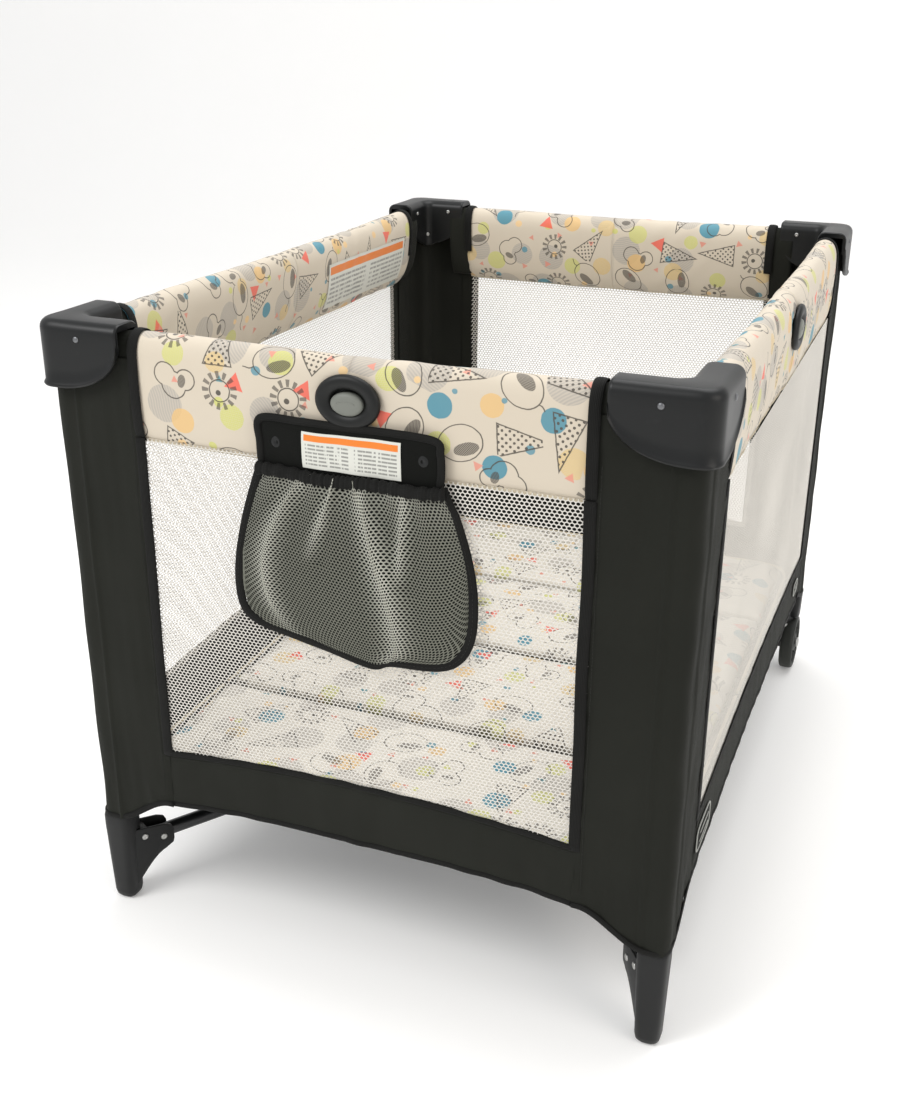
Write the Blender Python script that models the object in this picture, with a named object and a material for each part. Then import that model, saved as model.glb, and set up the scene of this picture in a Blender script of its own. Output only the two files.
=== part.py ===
"""Folding playpen: four corner posts, a hinged top rail on each side, a folding floor frame with a
lifting hub, fabric walls, a four-panel mattress and a mesh storage pocket.

Metres, +Z up. The origin is the middle of the footprint on the floor. X is the short side, Y the long
one; the near end is at -Y and the wheels are at +Y. Corner names are n or f (near, far) followed by
l or r (left, right).
"""

import math

import bmesh
import bpy
from mathutils import Matrix, Vector

# Overall size
WIDTH = 0.724
LENGTH = 1.003
HEIGHT = 0.737

# Plan of the posts and of the hinges. A rail half and a floor arm have the same plan length, so that
# every hinge turns by the same angle when the frame folds: rail pivot inset + latch pivot offset = foot
# + hub offsets.
POST_INSET = 0.027
POST_X = WIDTH / 2 - POST_INSET
POST_Y = LENGTH / 2 - POST_INSET
RAIL_PIVOT = 0.045
LATCH_PIVOT = 0.035
HINGE_SUM = RAIL_PIVOT + LATCH_PIVOT
ARM_PLAN = Vector((POST_X - HINGE_SUM, POST_Y - HINGE_SUM))
ARM_DIRECTION = ARM_PLAN.normalized()
FOOT_PIVOT = ARM_DIRECTION * 0.046
HUB_PIVOT = Vector((HINGE_SUM, HINGE_SUM)) - FOOT_PIVOT

# Heights
ARM_Z = 0.073
RAIL_Z = 0.714
CAP_BOTTOM = 0.665
FOOT_TOP = 0.118
BRACKET_TOP = 0.140
PANEL_TOP = 0.660
WALL_TOP = 0.6150
COVER_TOP = 0.729
FLOOR_Z = 0.1655
MATTRESS_Z = 0.1680
MATTRESS_THICKNESS = 0.022

# Tubes
POST_R = 0.0125
RAIL_R = 0.010
ARM_R = 0.009
LEG_R = 0.0085
TUBE_WALL = 0.0015
PIN_R = 0.003
TAIL = 0.010
TUBE_SIDES = 16

# Fabric
SLEEVE = 0.0165
CLOTH = 0.002
FLANGE = 0.0850
COVER_END = 0.0855
COVER_CLOTH = 0.0015

# Corner cap
CAP_ARM = 0.0765
CAP_BACK = 0.020
CAP_RIM = 0.010
CAP_ROUND = 0.016

# Latch
LATCH_HALF = 0.052
LATCH_SIDE = 0.0145
LATCH_Z = 0.686
BEZEL = (0.0345, 0.0272)
BUTTON = (0.0175, 0.0120)

# Wheels
WHEEL_R = 0.045
WHEEL_WIDTH = 0.022
WHEEL_X = 0.3405
WHEEL_Y = 0.4705
AXLE_R = 0.004

# Feet and brackets: clevis for the floor arm, and the seats that the posts stand on
FOOT_HALF = (0.0135, 0.0160)
BRACKET_HALF = 0.0165
MOULD_ROUND = 0.005
FIN_REACH = 0.060
FIN_HALF = 0.0135
FIN_SLOT = 0.0096
FIT = 0.0004
POST_SEAT_NEAR = 0.0855
POST_SEAT_FAR = 0.1058
BRACKET_BOTTOM = 0.093

# Hub and centre legs
HUB_HALF = (0.075, 0.062)
LEG_PIVOT_X = 0.045
LEG_SPREAD = 0.012
LEG_FOOT_X = 0.304
LEG_BEND = 0.050

# Mattress: four panels hinged along their top creases
MATTRESS_HALF = (0.322, 0.466)
CREASE = 0.234
CREASE_GAP = 0.001
MATTRESS_ROUND = 0.040

CORNERS = {"nl": (-1, -1), "nr": (1, -1), "fr": (1, 1), "fl": (-1, 1)}
CORNER_TURN = {"nl": 0.0, "nr": math.pi / 2, "fr": math.pi, "fl": -math.pi / 2}
SIDES = {
    "near": (0.0, POST_X, (0.0, -POST_Y)),
    "right": (math.pi / 2, POST_Y, (POST_X, 0.0)),
    "far": (math.pi, POST_X, (0.0, POST_Y)),
    "left": (-math.pi / 2, POST_Y, (-POST_X, 0.0)),
}

FINISHES = {
    "charcoal_fabric": ((0.020, 0.021, 0.018), 0.85, 0.0),
    "netting": ((0.69, 0.65, 0.58), 0.80, 0.0),
    "printed_fabric": ((0.80, 0.72, 0.62), 0.75, 0.0),
    "mattress_fabric": ((0.78, 0.72, 0.64), 0.75, 0.0),
    "pocket_mesh": ((0.10, 0.11, 0.10), 0.80, 0.0),
    "webbing": ((0.35, 0.03, 0.03), 0.70, 0.0),
    "black_plastic": ((0.022, 0.023, 0.025), 0.45, 0.0),
    "grey_plastic": ((0.16, 0.16, 0.16), 0.50, 0.0),
    "wheel_plastic": ((0.060, 0.062, 0.060), 0.55, 0.0),
    "painted_tube": ((0.012, 0.012, 0.012), 0.35, 0.6),
    "steel": ((0.55, 0.55, 0.56), 0.30, 1.0),
}


def clear_scene():
    for obj in list(bpy.data.objects):
        bpy.data.objects.remove(obj, do_unlink=True)


def finish(name):
    """The Principled material of one finish, made once."""
    material = bpy.data.materials.get(name)
    if material is None:
        colour, roughness, metallic = FINISHES[name]
        material = bpy.data.materials.new(name)
        material.use_nodes = True
        shader = material.node_tree.nodes["Principled BSDF"]
        shader.inputs["Base Color"].default_value = (*colour, 1.0)
        shader.inputs["Roughness"].default_value = roughness
        shader.inputs["Metallic"].default_value = metallic
    return material


def empty(name, at):
    """A pivot that a moving body's pieces are parented to."""
    pivot = bpy.data.objects.new(name, None)
    pivot.location = at
    bpy.context.scene.collection.objects.link(pivot)
    return pivot


def add(name, bm, slot, at, parent, turn=0.0, smooth=False):
    """Makes a named object from a bmesh in its own frame, placed at a world point under its pivot."""
    bmesh.ops.remove_doubles(bm, verts=bm.verts, dist=1e-6)
    bmesh.ops.recalc_face_normals(bm, faces=bm.faces)
    mesh = bpy.data.meshes.new(name)
    bm.to_mesh(mesh)
    bm.free()
    if smooth:
        mesh.shade_smooth()
        mesh.set_sharp_from_angle(angle=math.radians(40))
    obj = bpy.data.objects.new(name, mesh)
    bpy.context.scene.collection.objects.link(obj)
    obj.data.materials.append(finish(slot))
    obj.parent = parent
    obj.location = Vector(at) - parent.location
    obj.rotation_euler.z = turn
    return obj


def combine(obj, bm, operation):
    """Joins a bmesh in the object's own frame to it, or cuts it from it, with a live Boolean."""
    bmesh.ops.recalc_face_normals(bm, faces=bm.faces)
    mesh = bpy.data.meshes.new(obj.name + "_tool")
    bm.to_mesh(mesh)
    bm.free()
    tool = bpy.data.objects.new(obj.name + "_tool", mesh)
    bpy.context.scene.collection.objects.link(tool)
    tool.parent = obj.parent
    tool.location = obj.location
    tool.rotation_euler = obj.rotation_euler
    tool.hide_render = True
    tool.display_type = "WIRE"
    modifier = obj.modifiers.new(operation.lower(), "BOOLEAN")
    modifier.operation = operation
    modifier.solver = "EXACT"
    modifier.object = tool


def block(low, high):
    bm = bmesh.new()
    low, high = Vector(low), Vector(high)
    matrix = Matrix.Translation((low + high) / 2) @ Matrix.Diagonal((*(high - low), 1.0))
    bmesh.ops.create_cube(bm, size=1.0, matrix=matrix)
    return bm


def prism(outline, low, high, axes="xyz"):
    """Extrudes an outline between two heights; axes names the two outline axes and the extrusion axis."""
    order = ["xyz".index(letter) for letter in axes]
    bm = bmesh.new()
    rings = []
    for height in (low, high):
        ring = []
        for point in outline:
            place = [0.0, 0.0, 0.0]
            for axis, value in zip(order, (*point, height)):
                place[axis] = value
            ring.append(bm.verts.new(place))
        rings.append(ring)
    bm.faces.new(rings[0])
    bm.faces.new(rings[1])
    for i in range(len(outline)):
        j = (i + 1) % len(outline)
        bm.faces.new((rings[0][i], rings[0][j], rings[1][j], rings[1][i]))
    return bm


def rod(start, end, radius, sides=TUBE_SIDES):
    start, end = Vector(start), Vector(end)
    bm = bmesh.new()
    turn = (end - start).to_track_quat("Z", "Y").to_matrix().to_4x4()
    matrix = Matrix.Translation((start + end) / 2) @ turn
    depth = (end - start).length
    bmesh.ops.create_cone(
        bm, cap_ends=True, segments=sides, radius1=radius, radius2=radius, depth=depth, matrix=matrix
    )
    return bm


def tube(start, end, radius, wall=TUBE_WALL, sides=TUBE_SIDES):
    """A straight round tube, open at both ends."""
    start, end = Vector(start), Vector(end)
    turn = (end - start).to_track_quat("Z", "Y").to_matrix()
    bm = bmesh.new()
    rings = []
    for centre, size in ((start, radius), (end, radius), (end, radius - wall), (start, radius - wall)):
        ring = []
        for k in range(sides):
            angle = 2 * math.pi * k / sides
            offset = turn @ Vector((size * math.cos(angle), size * math.sin(angle), 0.0))
            ring.append(bm.verts.new(centre + offset))
        rings.append(ring)
    for a in range(4):
        b = (a + 1) % 4
        for k in range(sides):
            m = (k + 1) % sides
            bm.faces.new((rings[a][k], rings[a][m], rings[b][m], rings[b][k]))
    return bm


def oval(half_x, half_z, centre_z, sides=24):
    angles = [2 * math.pi * k / sides for k in range(sides)]
    return [(half_x * math.cos(a), centre_z + half_z * math.sin(a)) for a in angles]


def rounded(half_x, half_y, radius, steps=4):
    """A rectangle with round corners, about the origin."""
    outline = []
    for k, (sx, sy) in enumerate(((1, 1), (-1, 1), (-1, -1), (1, -1))):
        for step in range(steps + 1):
            angle = math.pi / 2 * (k + step / steps)
            x = sx * (half_x - radius) + radius * math.cos(angle)
            y = sy * (half_y - radius) + radius * math.sin(angle)
            outline.append((x, y))
    return outline


def inward(corner):
    """The level direction from a corner's post to the hub, along its floor arm."""
    sx, sy = CORNERS[corner]
    return Vector((-sx * ARM_DIRECTION.x, -sy * ARM_DIRECTION.y, 0.0))


def post_at(corner, z=0.0):
    sx, sy = CORNERS[corner]
    return Vector((sx * POST_X, sy * POST_Y, z))


def foot_pivot(corner):
    sx, sy = CORNERS[corner]
    return post_at(corner, ARM_Z) - Vector((sx * FOOT_PIVOT.x, sy * FOOT_PIVOT.y, 0.0))


def hub_pivot(corner):
    sx, sy = CORNERS[corner]
    return Vector((sx * HUB_PIVOT.x, sy * HUB_PIVOT.y, ARM_Z))


def turned(bm, direction, at=(0.0, 0.0, 0.0)):
    """Turns a shape that was drawn along +X so that it lies along a level direction."""
    angle = math.atan2(direction.y, direction.x)
    bmesh.ops.transform(bm, matrix=Matrix.Translation(at) @ Matrix.Rotation(angle, 4, "Z"), verts=bm.verts)
    return bm


def make_post(corner, body):
    bottom = (POST_SEAT_NEAR if corner[0] == "n" else POST_SEAT_FAR) + 0.0005
    bm = tube((0, 0, bottom), (0, 0, RAIL_Z + 0.001), POST_R)
    add(f"post_{corner}", bm, "painted_tube", post_at(corner), body, smooth=True)


def cap_arm(outline_axes):
    """One arm of the cap: a plate with a quarter-ellipse lower edge, on both sides of the rail."""
    outline = [(-POST_INSET, CAP_BOTTOM)]
    steps = 7
    for k in range(steps + 1):
        angle = math.pi / 2 * k / steps
        u = CAP_ARM * math.sin(angle)
        z = min(HEIGHT - (HEIGHT - CAP_BOTTOM) * math.cos(angle), HEIGHT - CAP_RIM)
        outline.append((u, z))
    outline += [(CAP_ARM, HEIGHT), (-POST_INSET, HEIGHT)]
    return prism(outline, -POST_INSET, CAP_BACK, outline_axes)


def make_cap(corner, body):
    """L-shaped cap over the post, open below and at both ends where the rail halves turn down."""
    cap = add(f"cap_{corner}", cap_arm("xzy"), "black_plastic", post_at(corner), body, CORNER_TURN[corner])
    combine(cap, cap_arm("yzx"), "UNION")
    combine(cap, corner_cutter(), "DIFFERENCE")
    slot_start = RAIL_PIVOT - 0.0165
    slot_top = RAIL_Z + 0.0165
    for axes in ("xy", "yx"):
        low = {axes[0]: slot_start, axes[1]: -0.0178, "z": CAP_BOTTOM - 0.01}
        high = {axes[0]: CAP_ARM + 0.01, axes[1]: 0.0125, "z": slot_top}
        slot = block([low[a] for a in "xyz"], [high[a] for a in "xyz"])
        combine(cap, slot, "DIFFERENCE")
    combine(cap, rod((0, 0, CAP_BOTTOM - 0.01), (0, 0, RAIL_Z + 0.0015), POST_R + FIT), "DIFFERENCE")


def corner_cutter():
    """What lies outside the round upright edge of a cap."""
    edge = -POST_INSET
    middle = edge + CAP_ROUND
    outline = [(edge - 0.01, edge - 0.01), (middle, edge - 0.01), (middle, edge)]
    steps = 5
    for k in range(1, steps):
        angle = -math.pi / 2 - math.pi / 2 * k / steps
        outline.append((middle + CAP_ROUND * math.cos(angle), middle + CAP_ROUND * math.sin(angle)))
    outline += [(edge, middle), (edge - 0.01, middle)]
    return prism(outline, CAP_BOTTOM - 0.01, HEIGHT + 0.01)


def fin(corner, start, low, high):
    """The inner end of a foot: a block along the arm, which fin_slot opens above and at its inner end."""
    outline = [(start, low), (FIN_REACH - 0.008, ARM_Z - 0.018), (FIN_REACH, ARM_Z - 0.014)]
    outline += [(FIN_REACH, high - 0.006), (FIN_REACH - 0.004, high), (start, high)]
    return turned(prism(outline, -FIN_HALF, FIN_HALF, "xzy"), inward(corner))


def fin_slot(corner):
    low = (0.028, -FIN_SLOT, ARM_Z - 0.0145)
    return turned(block(low, (FIN_REACH + 0.01, FIN_SLOT, FOOT_TOP)), inward(corner))


def pin_hole(corner):
    centre = foot_pivot(corner) - post_at(corner)
    across = Vector((-inward(corner).y, inward(corner).x, 0.0)) * 0.02
    return rod(centre - across, centre + across, PIN_R + 0.0003, 12)


def make_foot(corner, body):
    """Moulded foot under a near post, tapering to the floor, with a clevis for the floor arm."""
    lower = rounded(FOOT_HALF[0], FOOT_HALF[0], MOULD_ROUND, 2)
    upper = rounded(FOOT_HALF[1], FOOT_HALF[1], MOULD_ROUND, 2)
    bm = bmesh.new()
    rings = [[bm.verts.new((x, y, 0.0)) for x, y in lower]]
    rings.append([bm.verts.new((x, y, FOOT_TOP)) for x, y in upper])
    bm.faces.new(rings[0])
    bm.faces.new(rings[1])
    for i in range(len(lower)):
        j = (i + 1) % len(lower)
        bm.faces.new((rings[0][i], rings[0][j], rings[1][j], rings[1][i]))
    foot = add(f"foot_{corner}", bm, "black_plastic", post_at(corner), body)
    combine(foot, fin(corner, 0.004, 0.020, 0.088), "UNION")
    combine(foot, fin_slot(corner), "DIFFERENCE")
    combine(foot, rod((0, 0, POST_SEAT_NEAR), (0, 0, FOOT_TOP + 0.01), POST_R + FIT), "DIFFERENCE")
    combine(foot, pin_hole(corner), "DIFFERENCE")


def make_bracket(corner, body):
    """Moulded bracket under a far post: post socket, arm clevis, and a cheek with the wheel's stub axle."""
    sx = CORNERS[corner][0]
    side = sx * (WHEEL_X - POST_X)
    along = WHEEL_Y - POST_Y
    half = WHEEL_WIDTH / 2
    socket = prism(rounded(BRACKET_HALF, BRACKET_HALF, MOULD_ROUND, 2), BRACKET_BOTTOM, BRACKET_TOP)
    bracket = add(f"wheel_bracket_{corner}", socket, "black_plastic", post_at(corner), body)
    combine(bracket, fin(corner, 0.010, 0.060, 0.100), "UNION")
    inner = side - sx * (half + 0.001)
    outer = side + sx * (half + 0.02)
    clearance = rod((inner, along, WHEEL_R), (outer, along, WHEEL_R), WHEEL_R + 0.0025, 32)
    combine(bracket, clearance, "DIFFERENCE")
    cheek_low = (min(inner, inner - sx * 0.006), along - 0.009, WHEEL_R - 0.010)
    cheek_high = (max(inner, inner - sx * 0.006), along + 0.009, 0.100)
    combine(bracket, block(cheek_low, cheek_high), "UNION")
    axle_end = side + sx * (half + 0.002)
    axle = rod((inner - sx * 0.003, along, WHEEL_R), (axle_end, along, WHEEL_R), AXLE_R, 16)
    combine(bracket, axle, "UNION")
    combine(bracket, fin_slot(corner), "DIFFERENCE")
    combine(bracket, rod((0, 0, POST_SEAT_FAR), (0, 0, BRACKET_TOP + 0.01), POST_R + FIT), "DIFFERENCE")
    combine(bracket, pin_hole(corner), "DIFFERENCE")


def make_pin(corner, body):
    across = Vector((-inward(corner).y, inward(corner).x, 0.0)) * 0.0145
    bm = rod(-across, across, PIN_R, 12)
    add(f"foot_pin_{corner}", bm, "steel", foot_pivot(corner), body, smooth=True)


def make_corner_panel(corner, body):
    """Fabric sleeve round the post, with a flange along each wall out to the window's binding."""
    s, t, f = SLEEVE, CLOTH, FLANGE
    outline = [(-s, -s), (f, -s), (f, -s + t), (s, -s + t), (s, s), (-s + t, s), (-s + t, f), (-s, f)]
    bottom = 0.133 if corner[0] == "n" else 0.1433
    sleeve = prism(outline, bottom, PANEL_TOP)
    turn = CORNER_TURN[corner]
    panel = add(f"corner_panel_{corner}", sleeve, "charcoal_fabric", post_at(corner), body, turn)
    combine(panel, rod((0, 0, bottom - 0.01), (0, 0, PANEL_TOP + 0.01), POST_R + 0.0006), "DIFFERENCE")


def make_arm(corner, body):
    """Floor arm from a foot's clevis to the hub, with a hole for each hinge pin."""
    start, end = foot_pivot(corner), hub_pivot(corner)
    along = (end - start).normalized()
    bm = tube(-along * TAIL, end - start + along * TAIL, ARM_R)
    arm = add(f"floor_arm_{corner}", bm, "painted_tube", start, body, smooth=True)
    across = Vector((-along.y, along.x, 0.0)) * 0.02
    combine(arm, rod(-across, across, PIN_R + 0.0003, 12), "DIFFERENCE")


def make_hub(body):
    """Centre hub: slots for the four arms and the two centre legs, and a raised pad under the floor."""
    low = (-HUB_HALF[0], -HUB_HALF[1], 0.054)
    high = (HUB_HALF[0], HUB_HALF[1], 0.100)
    at = (0, 0, ARM_Z)
    base = block(low, high)
    bmesh.ops.translate(base, verts=base.verts, vec=(0, 0, -ARM_Z))
    hub = add("hub", base, "black_plastic", at, body)
    pad = bmesh.new()
    bmesh.ops.create_cone(
        pad, cap_ends=True, segments=24, radius1=0.036, radius2=0.030, depth=0.066,
        matrix=Matrix.Translation((0, 0, 0.130 - ARM_Z)),
    )
    combine(hub, pad, "UNION")
    for corner in CORNERS:
        outward = -inward(corner)
        slot = block((-0.0145, -0.0097, -0.03), (0.10, 0.0097, 0.0145))
        combine(hub, turned(slot, outward, hub_pivot(corner) - Vector(at)), "DIFFERENCE")
    for sx in (-1, 1):
        y = sx * LEG_SPREAD
        xs = sorted((sx * (LEG_PIVOT_X - 0.0145), sx * 0.10))
        combine(hub, block((xs[0], y - 0.0092, -0.03), (xs[1], y + 0.0092, 0.0145)), "DIFFERENCE")


def make_strap(body):
    """Webbing pull strap lying flat on the hub's pad."""
    outline = rounded(0.028, 0.0125, 0.003, 2)
    strap = add("pull_strap", prism(outline, 0.1633, 0.1652), "webbing", (0, 0, 0), body)
    combine(strap, prism(rounded(0.016, 0.004, 0.002, 2), 0.160, 0.168), "DIFFERENCE")


def make_leg(side, body):
    """Bent tube from the hub to the floor, halfway along a long side."""
    sx = 1 if side == "right" else -1
    run = LEG_FOOT_X - LEG_PIVOT_X
    points = [Vector((-TAIL, 0.0)), Vector((run - LEG_BEND, 0.0))]
    steps = 5
    for k in range(1, steps + 1):
        angle = math.pi / 2 * k / steps
        across = run - LEG_BEND + LEG_BEND * math.sin(angle)
        points.append(Vector((across, LEG_BEND * (math.cos(angle) - 1))))
    points.append(Vector((run, -ARM_Z)))
    curve = bpy.data.curves.new(f"centre_leg_{side}", "CURVE")
    curve.dimensions = "3D"
    curve.bevel_depth = LEG_R
    curve.bevel_resolution = 3
    curve.use_fill_caps = True
    spline = curve.splines.new("POLY")
    spline.points.add(len(points) - 1)
    for target, point in zip(spline.points, points):
        target.co = (sx * point.x, 0.0, point.y, 1.0)
    leg = bpy.data.objects.new(f"centre_leg_{side}", curve)
    bpy.context.scene.collection.objects.link(leg)
    curve.materials.append(finish("painted_tube"))
    leg.parent = body


def make_rail(side, end, body):
    """Half of a top rail: end is -1 or 1 along the side's own X."""
    turn, half, _ = SIDES[side]
    start = end * (half - RAIL_PIVOT)
    bm = tube((start + end * 0.012, 0, 0), (end * (LATCH_PIVOT - TAIL), 0, 0), RAIL_R)
    bmesh.ops.translate(bm, verts=bm.verts, vec=(-start, 0, 0))
    name = f"rail_{side}_{end_name(side, end)}"
    add(name, bm, "painted_tube", body.location, body, turn, smooth=True)


def end_name(side, end):
    """Which of its two neighbours an end of a side lies towards."""
    order = ("near", "right", "far", "left")
    return order[(order.index(side) + end) % 4]


def make_latch(side, body):
    """Latch housing: a channel round both rail halves, open above, with an oval bezel outside the cover."""
    turn, _, (x, y) = SIDES[side]
    at = (x, y, 0)
    channel = block((-LATCH_HALF, -LATCH_SIDE, 0.668), (LATCH_HALF, LATCH_SIDE, RAIL_Z + RAIL_R))
    latch = add(f"latch_housing_{side}", channel, "black_plastic", at, body, turn)
    combine(latch, prism(oval(0.0300, 0.0200, LATCH_Z), -0.0200, -0.0100, "xzy"), "UNION")
    combine(latch, prism(oval(*BEZEL, LATCH_Z), -0.0255, -0.0185, "xzy"), "UNION")
    slot = block((-0.07, -0.0107, RAIL_Z - 0.0150), (0.07, 0.0107, 0.75))
    combine(latch, slot, "DIFFERENCE")
    recess = prism(oval(BUTTON[0] + 0.0005, BUTTON[1] + 0.0005, LATCH_Z - 0.002), -0.03, -0.0085, "xzy")
    combine(latch, recess, "DIFFERENCE")


def make_button(side, body):
    turn, _, (x, y) = SIDES[side]
    bm = prism(oval(*BUTTON, LATCH_Z - 0.002), -0.0265, -0.0140, "xzy")
    add(f"latch_button_{side}", bm, "grey_plastic", (x, y, 0), body, turn, smooth=True)


def make_cover(side, body):
    """Printed rail cover: an inverted U of padded fabric over both rail halves, open for the latch."""
    turn, half, (x, y) = SIDES[side]
    end = half - COVER_END
    cover = add(
        f"rail_cover_{side}", block((-end, -SLEEVE, WALL_TOP + 0.0005), (end, SLEEVE, COVER_TOP)),
        "printed_fabric", (x, y, 0), body, turn,
    )
    inner = SLEEVE - COVER_CLOTH
    inside = block((-end - 0.01, -inner, 0.6), (end + 0.01, inner, RAIL_Z + RAIL_R + 0.001))
    combine(cover, inside, "DIFFERENCE")
    opening = prism(oval(0.0320, 0.0220, LATCH_Z), -0.03, -0.01, "xzy")
    combine(cover, opening, "DIFFERENCE")


def make_wall(side, body):
    """Netting window with the dark skirt below it, its lower edge arching up in the middle."""
    turn, half, (x, y) = SIDES[side]
    end = half - FLANGE - 0.0005
    outline = [(end, WALL_TOP), (-end, WALL_TOP)]
    steps = 8
    for k in range(steps + 1):
        u = -1 + 2 * k / steps
        outline.append((end * u, 0.172 - 0.012 * u * u))
    bm = prism(outline, -SLEEVE, -SLEEVE + CLOTH, "xzy")
    add(f"side_wall_{side}", bm, "netting", (x, y, 0), body, turn)


def make_floor(body):
    x = POST_X - SLEEVE - 0.001
    y = POST_Y - SLEEVE - 0.001
    bm = block((-x, -y, FLOOR_Z), (x, y, FLOOR_Z + CLOTH))
    add("floor_cloth", bm, "charcoal_fabric", (0, 0, 0), body)


def make_mattress(number, body):
    """One of four mattress panels, counted from the near end; the end panels have round outer corners."""
    width, length = MATTRESS_HALF
    ends = [-length, -CREASE, 0.0, CREASE, length]
    low = ends[number - 1] + (CREASE_GAP if number > 1 else 0.0)
    high = ends[number] - (CREASE_GAP if number < 4 else 0.0)
    outline = [(x, y) for x, y in rounded(width, length, MATTRESS_ROUND) if low < y < high]
    outline += [(sx * width, y) for sx in (-1, 1) for y in (low, high) if abs(y) < length]
    middle = (low + high) / 2
    outline.sort(key=lambda p: math.atan2(p[1] - middle, p[0]))
    if number in (1, 4):
        tip = low if number == 1 else high
        flat = [(sx * (width - MATTRESS_ROUND), tip) for sx in (-1, 1)]
        outline += flat
        outline.sort(key=lambda p: math.atan2(p[1] - middle, p[0]))
    bm = prism(outline, MATTRESS_Z, MATTRESS_Z + MATTRESS_THICKNESS)
    add(f"mattress_panel_{number}", bm, "mattress_fabric", (0, 0, 0), body)


def make_pocket(body):
    """Mesh storage pocket hanging from a header under the near latch, open at the top."""
    back = -POST_Y - 0.0190
    front = -POST_Y - 0.0410
    outside = block((-0.130, front, 0.410), (0.130, back, 0.606))
    shell = add("storage_pocket", outside, "pocket_mesh", (0, 0, 0), body)
    combine(shell, block((-0.0955, back - 0.002, 0.600), (0.0955, back, 0.656)), "UNION")
    combine(shell, block((-0.127, front + 0.002, 0.414), (0.127, back - 0.002, 0.700)), "DIFFERENCE")


def make_wheel(corner, body):
    """Wheel with a narrow rim step and a bore for the stub axle."""
    half = WHEEL_WIDTH / 2
    bm = tube((-half, 0, 0), (half, 0, 0), WHEEL_R, WHEEL_R - AXLE_R - 0.0004, 32)
    wheel = add(f"wheel_{corner}", bm, "wheel_plastic", body.location, body, smooth=True)
    for sx in (-1, 1):
        ring = tube((sx * (half - 0.003), 0, 0), (sx * (half + 0.01), 0, 0), WHEEL_R - 0.010, 0.020, 24)
        combine(wheel, ring, "DIFFERENCE")


def build():
    clear_scene()
    corners = {corner: empty(f"corner_{corner}", foot_pivot(corner)) for corner in CORNERS}
    hub = empty("hub_body", (0, 0, ARM_Z))
    for corner, body in corners.items():
        make_post(corner, body)
        make_cap(corner, body)
        make_pin(corner, body)
        make_corner_panel(corner, body)
        make_arm(corner, empty(f"arm_{corner}", foot_pivot(corner)))
    for corner in ("nl", "nr"):
        make_foot(corner, corners[corner])
    for corner in ("fl", "fr"):
        make_bracket(corner, corners[corner])
        sx = CORNERS[corner][0]
        make_wheel(corner, empty(f"axle_{corner}", (sx * WHEEL_X, WHEEL_Y, WHEEL_R)))
    make_hub(hub)
    make_strap(hub)
    make_floor(hub)
    for side, sx in (("left", -1), ("right", 1)):
        make_leg(side, empty(f"leg_{side}", (sx * LEG_PIVOT_X, sx * LEG_SPREAD, ARM_Z)))
    wall_corner = {"near": "nl", "right": "nr", "far": "fr", "left": "fl"}
    for side, (turn, half, (x, y)) in SIDES.items():
        for end in (-1, 1):
            offset = Matrix.Rotation(turn, 4, "Z") @ Vector((end * (half - RAIL_PIVOT), 0, RAIL_Z))
            make_rail(side, end, empty(f"rail_{side}_{end}_pivot", Vector((x, y, 0)) + offset))
        latch = empty(f"latch_{side}", (x, y, RAIL_Z))
        make_latch(side, latch)
        make_button(side, latch)
        make_cover(side, latch)
        make_wall(side, corners[wall_corner[side]])
        if side == "near":
            make_pocket(latch)
    for number in (1, 2, 3, 4):
        crease = {1: -CREASE, 2: 0.0, 3: 0.0, 4: CREASE}[number]
        make_mattress(number, empty(f"mattress_{number}", (0, crease, MATTRESS_Z + MATTRESS_THICKNESS)))


build()
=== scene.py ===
"""Looks of the folding playpen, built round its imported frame.

Metres, +Z up. The origin is the middle of the footprint; the near end is at -Y and the wheels at +Y.
A side has its own frame: x along the rail, -y outward. A corner has its own: u and v inward along its two
walls, from the post's centre.
"""

import math

import bmesh
import bpy
import numpy as np
from mathutils import Matrix, Vector


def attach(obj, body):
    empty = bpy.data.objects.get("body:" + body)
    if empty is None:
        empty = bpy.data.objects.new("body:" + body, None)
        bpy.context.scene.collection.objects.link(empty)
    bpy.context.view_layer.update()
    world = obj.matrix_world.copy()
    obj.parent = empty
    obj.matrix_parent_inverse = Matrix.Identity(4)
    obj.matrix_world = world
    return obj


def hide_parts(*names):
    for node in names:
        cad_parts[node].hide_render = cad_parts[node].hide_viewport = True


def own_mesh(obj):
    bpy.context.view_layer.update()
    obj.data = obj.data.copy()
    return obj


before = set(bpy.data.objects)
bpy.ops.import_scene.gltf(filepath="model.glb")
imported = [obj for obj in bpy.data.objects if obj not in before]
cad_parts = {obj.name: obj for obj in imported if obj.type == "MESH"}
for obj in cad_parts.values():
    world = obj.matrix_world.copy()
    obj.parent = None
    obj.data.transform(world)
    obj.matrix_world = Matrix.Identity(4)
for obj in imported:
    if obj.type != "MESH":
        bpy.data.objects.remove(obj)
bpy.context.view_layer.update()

# Frame, as in the part
POST_X = 0.335
POST_Y = 0.4745
RAIL_Z = 0.714
RAIL_R = 0.010
HEIGHT = 0.737
CAP_BOTTOM = 0.665
CAP_ARM = 0.0765
CAP_EDGE = 0.027
CAP_BACK = 0.0140
CAP_SIDE = 0.026
ARM_Z = 0.073
ARM_R = 0.009
LEG_R = 0.0085
RAIL_PIVOT = 0.045
LATCH_PIVOT = 0.035
LATCH_Z = 0.686
HUB_CORNER = 0.080
FOOT_PIVOT = 0.046
WHEEL_X = 0.3405
WHEEL_Y = 0.4705
WHEEL_R = 0.045
MATTRESS_HALF = (0.328, 0.471)
CREASE = 0.234
PIPING_Z = 0.1800

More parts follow.
